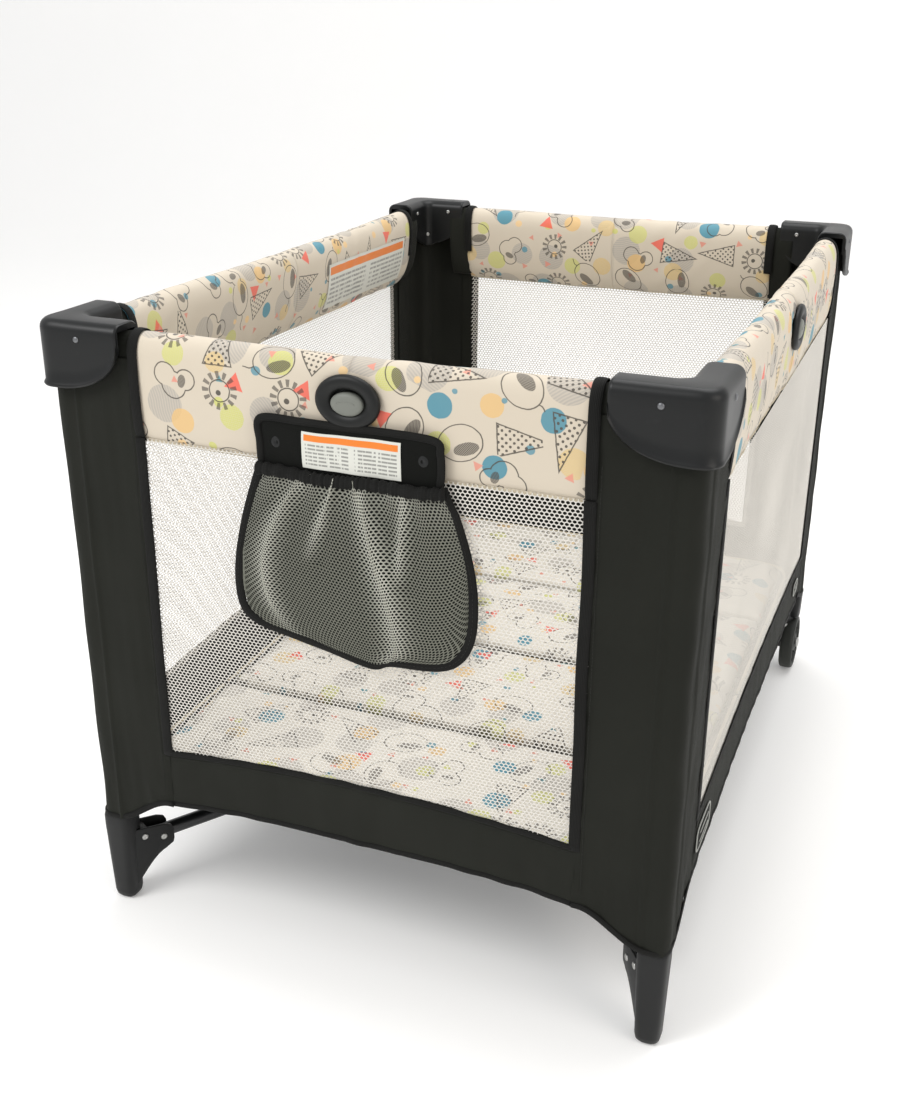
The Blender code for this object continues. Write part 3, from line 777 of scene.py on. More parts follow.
def turn_to(along, up):
    """Euler angles that turn X along a direction and Z towards another."""
    x = Vector(along).normalized()
    y = Vector(up).cross(x).normalized()
    return Matrix((x, y, x.cross(y))).transposed().to_euler()


def facing(out):
    """Euler angles that turn Z towards a direction."""
    return tuple(Vector(out).to_track_quat("Z", "Y").to_euler())


def seam(name, path, up, material, pitch=0.0042, matrix=None):
    """A row of stitches along a line; up is the surface's outward direction, for all or each."""
    line = resample(path, pitch)
    up = np.broadcast_to(np.asarray(up, float), np.asarray(path).shape)
    keys = np.linspace(0, 1, len(up))
    ups = np.stack([np.interp(np.linspace(0, 1, len(line)), keys, up[:, k]) for k in range(3)], 1)
    along = np.gradient(line, axis=0)
    turns = [turn_to(a, b) for a, b in zip(along, ups)]
    unit = stitch_unit(0.0032, 0.00032)
    obj = repeated(name, unit, line, turns, material, matrix, change=0.12, seed=len(line))
    obj.data.shade_smooth()
    return obj


def net_unit(pitch, strand, rise):
    """One cell of knitted netting: three ridged strands, which meet their neighbours at two knots."""
    bm = bmesh.new()
    half, depth = strand / 2, strand * 0.28
    edge = rise * 2 / 3
    low, high = np.array((0.0, -edge / 2)), np.array((0.0, edge / 2))
    for start, end in ((low, high), (low, (pitch / 2, -edge)), (low, (-pitch / 2, -edge))):
        end = np.array(end)
        along = (end - start) / np.linalg.norm(end - start)
        across = np.array((-along[1], along[0])) * half
        inset = along * half / math.sqrt(3)
        ridge = [bm.verts.new((x, -depth, z)) for x, z in (start, end)]
        for side in (-1, 1):
            edge_line = (start + inset + side * across, end - inset + side * across)
            feet = [bm.verts.new((x, 0.0, z)) for x, z in edge_line]
            order = (ridge[0], ridge[1], feet[1], feet[0])
            bm.faces.new(order if side > 0 else order[::-1])
    mesh = bpy.data.meshes.new("net unit")
    bm.to_mesh(mesh)
    bm.free()
    return link("net unit", mesh, NETTING)


def netting(name, x_range, z_range, keep, pitch, strand, material):
    """Flat netting in the XZ plane on every cell for which keep(x, z) holds."""
    rise = pitch * NET_RISE
    rows = int((z_range[1] - z_range[0]) / rise) + 2
    columns = int((x_range[1] - x_range[0]) / pitch) + 2
    row, column = np.mgrid[0:rows, 0:columns]
    x = x_range[0] + (column + 0.5 * (row % 2)) * pitch
    z = z_range[0] + row * rise
    chosen = keep(x, z)
    points = np.stack([x[chosen], 0 * x[chosen], z[chosen]], 1)
    return repeated(name, net_unit(pitch, strand, rise), points, (0, 0, 0), material, merge=0.00005)


def points_of(mesh):
    """A mesh's vertices as rows of an array."""
    points = np.empty(len(mesh.vertices) * 3)
    mesh.vertices.foreach_get("co", points)
    return points.reshape(-1, 3)


def reshaped(obj, change, matrix=None):
    """Moves every vertex: change takes and returns an array of points."""
    mesh = obj.data
    mesh.vertices.foreach_set("co", change(points_of(mesh)).ravel())
    if matrix is not None:
        mesh.transform(matrix)
    mesh.update()
    return obj


# ---------------------------------------------------------------- caps


def cap_stations():
    """Outer and inner plan points of a cap's sections, from one arm's end round the corner to the other's."""
    edge, back = -CAP_EDGE, CAP_BACK
    bend = 0.021
    half = [((CAP_ARM - 0.0004, edge), (CAP_ARM - 0.0004, back), 0.0020)]
    half.append(((CAP_ARM, edge), (CAP_ARM, back), 0.0010))
    for u in (0.0750, 0.073, 0.068, 0.060, 0.052, 0.044, 0.036, 0.0275):
        half.append(((u, edge), (u, back), 0.0))
    fillet = 0.012
    hub = back + fillet
    middle = edge + bend
    turns = [((u, edge), k) for k, u in enumerate((0.018, 0.010, 0.000, middle), 1)]
    for k in range(1, 5):
        angle = -math.pi / 2 - math.pi / 2 * k / 8
        turns.append(((middle + bend * math.cos(angle), middle + bend * math.sin(angle)), 4 + k))
    for place, k in turns:
        angle = -math.pi / 2 - math.pi / 4 * k / 8
        half.append((place, (hub + fillet * math.cos(angle), hub + fillet * math.sin(angle)), 0.0))
    other = [((o[1], o[0]), (i[1], i[0]), inset) for o, i, inset in half[:-1]]
    return half + other[::-1]


def cap_section(outer, inner, inset):
    """A closed loop round the wall of a cap at one station: outside, top, inside, and the hollow below."""
    outer, inner = np.array(outer), np.array(inner)
    reach = max(outer)
    start = HEIGHT - CAP_SIDE
    low = start - (start - CAP_BOTTOM) * math.sqrt(max(0.0, 1 - (max(reach, 0.0) / CAP_ARM) ** 2))
    width = np.linalg.norm(inner - outer)
    wall = 0.0032
    top = HEIGHT - inset
    bend = min(0.0110, top - low - 0.0035)
    near, far = inset, width - inset
    start = min(low + 0.0060, top - bend - 0.0001)
    loop = [(near + wall, low + 0.006), (near + wall, low + 0.001), (near + wall / 2, low)]
    loop += [(near - 0.0010, low + 0.0004), (near - 0.0020, low + 0.0022), (near - 0.0012, low + 0.0042)]
    loop.append((near, start))
    for k in range(1, 4):
        loop.append((near, start + (top - bend - start) * k / 4))
    for k in range(0, 7):
        angle = math.pi / 2 * k / 6
        loop.append((near + bend * (1 - math.cos(angle)), top - bend + bend * math.sin(angle)))
    for k in range(6, -1, -1):
        angle = math.pi / 2 * k / 6
        loop.append((far - bend * (1 - math.cos(angle)), top - bend + bend * math.sin(angle)))
    for k in range(3, 0, -1):
        loop.append((far, start + (top - bend - start) * k / 4))
    loop += [(far, start), (far + 0.0004, low + 0.0022), (far, low + 0.0004), (far - wall / 2, low)]
    loop += [(far - wall, low + 0.001), (far - wall, low + 0.006)]
    ceiling = max(HEIGHT - 0.0075, low + 0.0061)
    for share in (0.0, 0.33, 0.67, 1.0):
        across = 0.003 * math.sin(math.pi * share) + (far - near - 2 * wall) * share
        loop.append((far - wall - across, ceiling))
    along = (inner - outer) / width
    return [(*(outer + along * d), z) for d, z in loop]


def cap_fittings():
    """Places and turns of a cap's rivets, one on each outer face, and of the screws on its inner faces."""
    rivets, screws = [], []
    outer, inner = (0.028, -CAP_EDGE, HEIGHT - 0.018), (0.052, CAP_BACK, HEIGHT - 0.016)
    for other_arm in (False, True):
        for found, (u, v, z) in ((rivets, outer), (screws, inner)):
            out = math.copysign(1, v)
            if other_arm:
                found.append(((v, u, z), facing((out, 0, 0))))
            else:
                found.append(((u, v, z), facing((0, out, 0))))
    corner_screw = CAP_BACK + 0.0035
    screws.append(((corner_screw, corner_screw, CAP_BOTTOM + 0.018), facing((1, 1, 0))))
    return rivets, screws


def rivet_unit(radius, rise, recess=0.0):
    """A domed rivet along Z; a recess sinks a screw's drive in its head."""
    profile = [(radius, -0.001), (radius, 0.0002), (radius * 0.93, rise * 0.45), (radius * 0.70, rise * 0.82)]
    profile += [(radius * 0.42, rise), (radius * 0.30, rise - recess), (0.0, rise - recess)]
    return lathe("rivet unit", profile, RIVET, sides=20)


for corner in CORNERS:
    matrix = corner_matrix(corner)
    sections = [cap_section(*station) for station in cap_stations()]
    cap = outward(grid(f"corner_cap_{corner}", sections, CAP_PLASTIC, matrix, closed=True, ends=True))
    cap.data.set_sharp_from_angle(angle=math.radians(50))
    at_rest(cap, f"corner_{corner}", "black_plastic", f"cap_{corner}")
    rivet_places, screw_places = cap_fittings()
    unit = rivet_unit(0.0034, 0.0016)
    rivets = repeated(f"cap_rivets_{corner}", unit, *zip(*rivet_places), RIVET_DARK, matrix)
    at_rest(rivets, f"corner_{corner}", "black_plastic")
    unit = rivet_unit(0.0030, 0.0014, 0.0007)
    screws = repeated(f"cap_screws_{corner}", unit, *zip(*screw_places), RIVET, matrix)
    at_rest(screws, f"corner_{corner}", "steel")


# ---------------------------------------------------------------- corner fabric


def smoothstep(t):
    t = np.clip(t, 0, 1)
    return t * t * (3 - 2 * t)


def panel_low(reach, corner):
    """Height of a corner panel's lower edge, by distance from the post along the wall."""
    foot = PANEL_FOOT[corner[0]]
    return foot + (SKIRT_MIDDLE - SKIRT_DROP - foot) * smoothstep((reach - 0.006) / (FLANGE - 0.010))


def corner_panel(corner):
    """Fabric wrapped round the outside of a post, out to the windows' edges."""
    v = WALL_Y - 0.0009
    bend = 0.0150
    line = [(FLANGE + 0.001, v)] + [(u, v) for u in np.arange(0.084, 0.0, -0.005)]
    for k in range(0, 13):
        angle = -math.pi / 2 - math.pi / 2 * k / 12
        line.append((v + bend + bend * math.cos(angle), v + bend + bend * math.sin(angle)))
    line += [(v, u) for u in np.arange(0.004, 0.085, 0.005)] + [(v, FLANGE + 0.001)]
    line = resample(line, 0.0026)
    reach = line.max(1)
    low = panel_low(reach, corner)
    rows = 120
    points = []
    for r in range(rows):
        z = low + (PANEL_TOP - low) * (r / (rows - 1))
        points.append(np.column_stack([line, z]))
    points = np.array(points)
    out = np.zeros(line.shape)
    flat = line[:, 0] > v + bend
    side = line[:, 1] > v + bend
    out[flat] = (0, -1)
    out[side] = (-1, 0)
    rest = ~(flat | side)
    out[rest] = (line[rest] - (v + bend)) / bend
    lengths = np.concatenate([[0], np.cumsum(np.linalg.norm(np.diff(line, axis=0), axis=1))])
    seed = 11 + 7 * list(CORNERS).index(corner)
    plane = np.stack([np.broadcast_to(lengths * 2.2, points.shape[:2]), points[:, :, 2]], -1)
    folds = ripple(plane, seed, 26.0) * 0.0007 + ripple(plane * (1.0, 0.25), seed + 1, 90.0) * 0.0003
    foot_pull = np.exp(-(points[:, :, 2] - low) / 0.06) * ripple(plane * (1.6, 0.3), seed + 2, 60.0) * 0.0011
    welt = 0.0019 * np.exp(-((reach - 0.0135) / 0.0020) ** 2)
    border = np.exp(-((FLANGE - reach) / 0.013) ** 2)
    puckers = border * ripple(plane * (0.25, 1.0), seed + 3, 150.0) * 0.0007
    points[:, :, :2] += out[None] * (folds * 1.4 + foot_pull + puckers + welt - 0.0004)[:, :, None]
    uv = np.stack([np.broadcast_to(lengths, points.shape[:2]), points[:, :, 2]], -1)
    return points, uv, lengths[-1], line, out, low


LINING_STEP = 0.004
LINING_SEED = 7
for corner in CORNERS:
    body = f"corner_{corner}"
    matrix = corner_matrix(corner)
    points, uv, length, line, out, low = corner_panel(corner)
    panel = grid(f"corner_fabric_{corner}", points, CHARCOAL, matrix, uv=uv)
    at_rest(panel, body, "charcoal_fabric", f"corner_panel_{corner}")
    hem_line = np.column_stack([line + out * 0.0004, low + 0.002])
    hem_out = np.column_stack([out, 0 * low])
    hem = sweep(f"corner_hem_{corner}", hem_line, oval(0.0036, 0.0013, 10), hem_out, TAPE, matrix)
    at_rest(hem, body, "charcoal_fabric")
    seam_line = np.array([(0.080, WALL_Y - 0.0016, z) for z in np.arange(0.18, 0.655, 0.004)])
    seams = [seam("seam", seam_line, (0, -1, 0), THREAD_DARK)]
    seams.append(seam("seam", seam_line[:, (1, 0, 2)], (-1, 0, 0), THREAD_DARK))
    stitches = joined(f"corner_stitches_{corner}", *seams)
    stitches.data.transform(matrix)
    at_rest(stitches, body, "charcoal_fabric")
    v = WALL_Y + 0.0022
    inside = [(0.066, v - 0.0012), (0.045, v), (0.026, v + 0.001), (0.0175, v + 0.007)]
    inside += [(0.0155, 0.001), (0.0138, 0.0085)]
    inside = smooth_path(inside + [(0.0112, 0.0112)] + [(b, a) for a, b in inside[::-1]], LINING_STEP)
    heights = np.arange(LINING_LOW, 0.700, 0.006)
    liner = np.array([np.column_stack([inside, np.full(len(inside), z)]) for z in heights])
    across = np.arange(len(inside)) * LINING_STEP
    plane = np.stack([np.broadcast_to(across, liner.shape[:2]), liner[:, :, 2]], -1)
    liner[:, :, 0] += ripple(plane, LINING_SEED, 30.0) * 0.0006
    lining = grid(f"corner_lining_{corner}", liner, LINER, matrix, flip=True)
    at_rest(lining, body, "charcoal_fabric")
    cloth(panel, length, PANEL_TOP - PANEL_FOOT["n"], "stretched", [f"post_{corner}"], [hem, stitches])
    cloth(lining, across[-1], np.ptp(heights), "stretched", [f"post_{corner}"])


# ---------------------------------------------------------------- walls: netting, skirt and bindings


def arch(x, end):
    return ARCH_MIDDLE - ARCH_DROP * (x / end) ** 2


def skirt_edge(x, end):
    return SKIRT_MIDDLE - SKIRT_DROP * np.abs(x / end) ** 3


def gather(obj):
    """Gives a wall piece a mesh of its own."""
    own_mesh(obj)


OUTWARD = (0, -1, 0)
NET_MARGIN = 0.003
TURN_IN = 0.015
for side, (turn, half, _, ends) in SIDES.items():
    end = half - FLANGE
    matrix = side_matrix(side)
    body = f"corner_{ends[0]}"
    panel = [f"corner_fabric_{ends[0]}"]
    seed = 40 + turn % 7
    top = WINDOW_TOP + 0.001

    def in_window(x, z):
        return (np.abs(x) < end + NET_MARGIN) & (z > arch(x, end) - NET_MARGIN) & (z < top)

    def slack(points):
        belly = np.sin(np.pi * np.clip((points[:, 2] - 0.24) / (top - 0.24), 0, 1))
        edge = np.cos(np.pi / 2 * np.clip(points[:, 0] / end, -1, 1)) ** 0.5
        sag = 0.0016 + 0.0016 * ripple(points[:, (0, 2)], seed, 11.0)
        points[:, 1] += WALL_Y + 0.0006 + belly * edge * sag
        points[:, 0] += 0.0006 * ripple(points[:, (0, 2)], seed + 1, 25.0)
        return points

    span, rise = (-end - NET_MARGIN, end + NET_MARGIN), (arch(end, end), top)
    net = netting(f"netting_{side}", span, rise, in_window, NET_PITCH, NET_STRAND, NETTING)
    reshaped(net, slack, matrix)
    at_rest(net, body, "netting", f"side_wall_{side}")
    gather(net)
    x = np.linspace(-end, end, int(2 * end / 0.006))
    rows = []
    for t in np.linspace(0, 1, 18):
        z = skirt_edge(x, end) * (1 - t) + (arch(x, end) + 0.004) * t
        plane = np.stack([x, z], 1)
        y = WALL_Y - 0.0008 - 0.0006 * ripple(plane * (1.0, 0.6), seed + 2, 34.0)
        y = y - 0.0008 * (0.3 + abs(2 * t - 1)) * ripple(plane * (1.0, 0.2), seed + 3, 70.0)
        y = y - 0.0004 * math.sin(math.pi * t) * ripple(plane * (1.0, 0.35), seed + 4, 210.0)
        rows.append(np.column_stack([x, y, z]))
    skirt = grid(f"skirt_{side}", rows, SKIRT_CLOTH, matrix)
    at_rest(skirt, body, "charcoal_fabric")
    gather(skirt)
    hem_line = np.column_stack([x, rows[0][:, 1] + 0.0002, skirt_edge(x, end) + 0.002])
    hem = sweep(f"skirt_hem_{side}", hem_line, oval(0.0036, 0.0014, 10), OUTWARD, TAPE, matrix)
    sill_line = np.column_stack([x, 0 * x + WALL_Y - 0.0012, arch(x, end)])
    sill = sweep(f"window_sill_{side}", sill_line, oval(0.0034, 0.0013, 10), OUTWARD, TAPE, matrix)
    sill_seam_line = sill_line + (0, -0.0008, -0.0055)
    stitches = seam(f"skirt_stitches_{side}", sill_seam_line, OUTWARD, THREAD_DARK, matrix=matrix)
    for obj in (hem, sill, stitches):
        at_rest(obj, body, "charcoal_fabric")
        gather(obj)
    for sign, corner in zip((-1, 1), ends):
        z = np.linspace(arch(end, end) - 0.002, top, 66)
        wave = 0.0006 * ripple(np.stack([z, 0 * z + sign], 1), seed + sign, 30.0)
        tape_line = np.column_stack([sign * (end - 0.001) + wave, 0 * z + WALL_Y - 0.0012, z])
        name = f"window_binding_{side}_{corner}"
        tape = sweep(name, tape_line, oval(0.0062, 0.0014, 12), OUTWARD, TAPE, matrix)
        at_rest(tape, f"corner_{corner}", "charcoal_fabric")
    # the floor cloth's turned-up edge, which is sewn to the skirt
    x = np.linspace(-end - TURN_IN, end + TURN_IN, int(2 * end / 0.012))
    rise = skirt_edge(x, end + TURN_IN) + 0.010
    turn_up = [(0.0008, rise), (0.0016, 0.1740), (0.0040, 0.1695), (0.0080, 0.1680), (0.0140, 0.1676)]
    rows = [np.column_stack([x, 0 * x + WALL_Y + reach, 0 * x + z]) for reach, z in turn_up]
    floor_edge = grid(f"floor_edge_{side}", rows, LINER, matrix, flip=True)
    at_rest(floor_edge, body, "charcoal_fabric")
    gather(floor_edge)
    cloth(floor_edge, 2 * (end + TURN_IN), 0.0250, "stretched", panel)
    cloth(net, 2 * (end + NET_MARGIN), top - arch(end, end) + 0.004, "stretched", panel)
    cloth(skirt, 2 * end, 0.095, "stretched", panel, [hem, sill, stitches])


# ---------------------------------------------------------------- rail covers, cuffs and rails

# A padded cover's section, from its outer lower edge over the rail to its inner one.
COVER_LINE = [
    (-0.0125, 0.6150), (-0.0158, 0.6250), (-0.0176, 0.6450), (-0.0182, 0.6700), (-0.0180, 0.6950),
    (-0.0166, 0.7130), (-0.0105, 0.7250), (0.0000, 0.7292), (0.0105, 0.7250), (0.0166, 0.7120),
    (0.0176, 0.6920), (0.0145, 0.6600), (0.0070, 0.6330), (-0.0030, 0.6170), (-0.0085, 0.6128),
]
# How far each side's cloth was moved along the print before it was cut.
COVER_SHIFT = {"near": 0.0, "right": 1.31, "far": 2.93, "left": 4.17}
COVER_STEP = 0.0050


def cover_rows(side, x):
    """Sections of a padded rail cover at each x: its bulge, the tucks at its ends and its puckers."""
    _, half, _, _ = SIDES[side]
    end = half - COVER_END
    base = smooth_path(COVER_LINE, 0.0040, closed=True)
    ahead = np.roll(base, -1, 0) - np.roll(base, 1, 0)
    normal = np.stack([-ahead[:, 1], ahead[:, 0]], 1)
    normal /= np.linalg.norm(normal, axis=1, keepdims=True)
    middle = base.mean(0)
    if ((base[0] - middle) * normal[0]).sum() < 0:
        normal = -normal
    steps = np.linalg.norm(np.diff(np.vstack([base, base[:1]]), axis=0), axis=1)
    lengths = np.concatenate([[0], np.cumsum(steps)])
    front = base[:, 0] < 0
    seed = 70 + list(SIDES).index(side)
    rows = []
    for at in x:
        plane = np.column_stack([np.full(len(base), at), base[:, 0] * 2, base[:, 1]])
        tuck = math.exp(-(((end - abs(at)) / 0.006) ** 2))
        latch = math.exp(-((abs(at) / 0.055) ** 2)) * np.exp(-(((base[:, 1] - LATCH_Z) / 0.05) ** 2)) * front
        low = smoothstep((0.655 - base[:, 1]) / 0.04)
        bulge = 0.0011 * ripple(plane * (1.0, 1.0, 1.2), seed, 16.0)
        pucker = 0.0007 * ripple(plane * (1.0, 0.3, 0.25), seed + 9, 95.0)
        bulge = bulge + pucker * (0.35 + 0.65 * low) + 0.0009 * latch * ripple(plane, seed + 20, 60.0)
        slant = np.sin((at * 0.75 + base[:, 1] * 0.9) * 170 + 2.5 * math.sin(at * 21 + seed))
        bulge = bulge + 0.0005 * slant * max(0.0, math.sin(at * 13 + seed)) ** 2
        dish = (at / 0.030) ** 2 + ((base[:, 1] - LATCH_Z) / 0.023) ** 2
        bulge = bulge - 0.0006 * tuck - 0.0006 - 0.0045 * smoothstep(1.35 - dish) * front
        bulge = bulge - 0.0035 * smoothstep(1.4 * (0.75 - dish)) * front
        section = base + normal * bulge[:, None]
        section[:, 1] += 0.0012 * low * ripple(np.array([[at, 0.0]]), seed + 30, 20.0)[0]
        section[:, 1] -= 0.0014 * math.cos(math.pi / 2 * at / end) * smoothstep((base[:, 1] - 0.70) / 0.02)
        rows.append(np.column_stack([np.full(len(base), at), section]))
    uv = np.stack(np.meshgrid(lengths, x + COVER_SHIFT[side], indexing="xy"), -1)[:, :, ::-1]
    return np.array(rows), uv


def half_span(half, end):
    """Even x positions over one half of a cover, from the middle out."""
    reach = half - COVER_END
    count = int(round(reach / COVER_STEP))
    return end * np.linspace(0, reach, count + 1)


def flatten(obj):
    """Gives what hangs from a rail half a mesh of its own."""
    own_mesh(obj)


for side, (_, half, _, _) in SIDES.items():
    matrix = side_matrix(side)
    for end in (-1, 1):
        body = rail_body(side, end)
        name = body.removeprefix("rail_")
        rows, uv = cover_rows(side, half_span(half, end))
        cover = outward(grid(f"rail_cover_{name}", rows, PRINT, matrix, closed=True, ends=True, uv=uv))
        at_rest(cover, body, "printed_fabric", f"rail_cover_{side}")
        hem_line = rows[:, 0] + (0, 0.0012, -0.0012)
        hem = sweep(f"cover_hem_{name}", hem_line, oval(0.0020, 0.0017, 8), OUTWARD, HEM, matrix)
        at_rest(hem, body, "printed_fabric")
        stitch_line = rows[:, 1] + (0, -0.0004, -0.002)
        stitches = seam(f"cover_stitches_{name}", stitch_line, OUTWARD, THREAD_PALE, matrix=matrix)
        at_rest(stitches, body, "printed_fabric")
        cuff_x = end * np.linspace(half - 0.0885, half - 0.056, 8)
        base = smooth_path(COVER_LINE, 0.0050, closed=True)
        middle = np.array((0.0, 0.70))
        cuff_rows = []
        for at in cuff_x:
            section = middle + (base - middle) * (0.84, 0.95)
            section[:, 0] += 0.0004 * ripple(np.column_stack([section, np.full(len(base), at)]), 5, 90.0)
            cuff_rows.append(np.column_stack([np.full(len(base), at), section]))
        cuff = outward(grid(f"rail_cuff_{name}", cuff_rows, CHARCOAL, matrix, closed=True, ends=True))
        at_rest(cuff, body, "charcoal_fabric")
        binding_x = end * (half - FLANGE - 0.001)
        edge = smooth_path(COVER_LINE[:12], 0.004)
        ahead = np.gradient(edge, axis=0)
        out = np.column_stack([0 * ahead[:, 0], -ahead[:, 1], ahead[:, 0]])
        out /= np.linalg.norm(out, axis=1, keepdims=True)
        edge_line = np.column_stack([np.full(len(edge), binding_x), edge]) + out * 0.0012
        binding = sweep(f"cover_binding_{name}", edge_line, oval(0.0060, 0.0013, 12), out, TAPE, matrix)
        at_rest(binding, body, "charcoal_fabric")
        for obj in (cover, hem, stitches, cuff, binding):
            flatten(obj)
        start, stop = end * (half - RAIL_PIVOT + 0.010), end * (LATCH_PIVOT - 0.010)
        bevel = 0.001
        sections = []
        for at, r in (
            (start, RAIL_R - bevel),
            (start - end * bevel, RAIL_R),
            (stop + end * bevel, RAIL_R),
            (stop, RAIL_R - bevel),
        ):
            sections.append([(at, y, RAIL_Z + z) for y, z in oval(r, r, 28)])
        tube = outward(grid(f"rail_tube_{name}", sections, TUBE_PAINT, matrix, closed=True, ends=True))
        at_rest(tube, body, "painted_tube", body)
        pins = []
        for px in (end * (half - RAIL_PIVOT), end * LATCH_PIVOT):
            for sign in (-1, 1):
                pins.append(((px, sign * (RAIL_R - 0.0002), RAIL_Z), facing((0, sign, 0))))
        rivets = repeated(f"rail_rivets_{name}", rivet_unit(0.0030, 0.0012), *zip(*pins), RIVET, matrix)
        at_rest(rivets, body, "steel")


# ---------------------------------------------------------------- latches

# Half width, half height and y of each ring, from the back of the bezel round its rim into its well.
BEZEL_PROFILE = [
    (0.0300, 0.0200, -0.0100), (0.0300, 0.0200, -0.0180), (0.0337, 0.0264, -0.0186),
    (0.0347, 0.0274, -0.0200), (0.0345, 0.0272, -0.0222), (0.0330, 0.0257, -0.0243),
    (0.0303, 0.0230, -0.0255), (0.0272, 0.0200, -0.0256), (0.0240, 0.0170, -0.0250),
    (0.0212, 0.0146, -0.0236), (0.0192, 0.0133, -0.0220), (0.0182, 0.0125, -0.0200),
    (0.0180, 0.0123, -0.0120),
]
# The same for the button, from its side to the middle of its face.
BUTTON_PROFILE = [
    (0.0174, 0.0118, -0.0140), (0.0174, 0.0118, -0.0226), (0.0168, 0.0112, -0.0242),
    (0.0150, 0.0097, -0.0254), (0.0120, 0.0075, -0.0262), (0.0080, 0.0048, -0.0266),
    (0.0040, 0.0024, -0.0268),
]


def oval_turned(name, profile, centre_z, material, matrix, sides=56):
    """Rings of ellipses (half width, half height, y), about a side's Y axis."""
    angles = np.arange(sides) * 2 * math.pi / sides
    rings = []
    for a, b, y in profile:
        rings.append(np.stack([a * np.cos(angles), 0 * angles + y, centre_z + b * np.sin(angles)], 1))
    return outward(grid(name, rings, material, matrix, closed=True, ends=True))


for side in SIDES:
    matrix = side_matrix(side)
    outline = [(-0.0140, 0.668), (0.0140, 0.668), (0.0140, 0.7080), (0.0110, 0.7150), (0.0108, 0.7000)]
    outline += [(-0.0108, 0.7000), (-0.0110, 0.7150), (-0.0140, 0.7080)]
    along_rail = Matrix(((0, 0, 1, 0), (1, 0, 0, 0), (0, 1, 0, 0), (0, 0, 0, 1)))
    place = matrix @ along_rail
    channel = extruded("channel", outline, -0.052, 0.052, BEZEL_PLASTIC, place, soft=0.0009, segments=2)
    bezel = oval_turned("bezel", BEZEL_PROFILE, LATCH_Z, BEZEL_PLASTIC, matrix)
    housing = joined(f"latch_housing_shell_{side}", channel, bezel)
    at_rest(housing, f"latch_{side}", "black_plastic", f"latch_housing_{side}")
    button_z = LATCH_Z - 0.002
    button = oval_turned(f"latch_push_button_{side}", BUTTON_PROFILE, button_z, BUTTON_PLASTIC, matrix)
    arc = []
    for angle in np.linspace(math.pi * 0.12, math.pi * 0.88, 16):
        arc.append((0.0105 * math.cos(angle), -0.0262, button_z - 0.0005 + 0.0045 * math.sin(angle)))
    section = oval(0.0006, 0.0008, 8)
    ridge = sweep(f"latch_button_ridge_{side}", arc, section, OUTWARD, BUTTON_PLASTIC, matrix)
    at_rest(button, f"button_{side}", "grey_plastic", f"latch_button_{side}")
    at_rest(ridge, f"button_{side}", "grey_plastic")


# ---------------------------------------------------------------- storage pocket

POCKET_BACK = -POST_Y - 0.0192
# The bag's bound edge, from its top left corner round its foot.
BAG_OUTLINE = [
    (-0.098, 0.612), (-0.106, 0.590), (-0.119, 0.550), (-0.130, 0.505), (-0.1325, 0.470),
    (-0.126, 0.443), (-0.105, 0.430), (-0.070, 0.4235), (-0.030, 0.4155), (0.012, 0.4065),
    (0.026, 0.4060), (0.042, 0.4120), (0.095, 0.4170), (0.119, 0.432), (0.1310, 0.460),
    (0.1325, 0.500), (0.126, 0.540), (0.114, 0.580), (0.104, 0.600), (0.100, 0.612),
]
BAG_LINE = smooth_path(BAG_OUTLINE, 0.002)


def bag_bottom(x):
    """Height of the bag's foot at each x."""
    low = BAG_LINE[:, 1] < 0.52
    order = np.argsort(BAG_LINE[low, 0])
    return np.interp(x, BAG_LINE[low, 0][order], BAG_LINE[low, 1][order])


def bag_half(z):
    """Half the bag's width at a height."""
    right = BAG_LINE[BAG_LINE[:, 0] > 0.09]
    order = np.argsort(right[:, 1])
    return np.interp(z, right[order, 1], right[order, 0])


def bag_place(s, t, top):
    """x and z of a point a share s across the bag, from -1 to 1, and a share t down it."""
    x = s * 0.100
    for _ in range(4):
        z = top + (bag_bottom(x) - top) * t
        x = s * bag_half(z) * 0.985
    return x, z


BAG_FLAT = (0.31, 0.205)
# Each fold's place across the bag at its top, middle and foot, its depth, its width and how far down it runs.
BAG_FOLDS = [
    (-0.45, -0.74, -0.62, 0.0050, 0.10, 1.05), (-0.12, -0.34, -0.50, 0.0040, 0.06, 0.50),
    (0.10, 0.30, 0.46, 0.0055, 0.11, 1.20), (0.62, 0.44, 0.40, 0.0040, 0.06, 0.60),
]


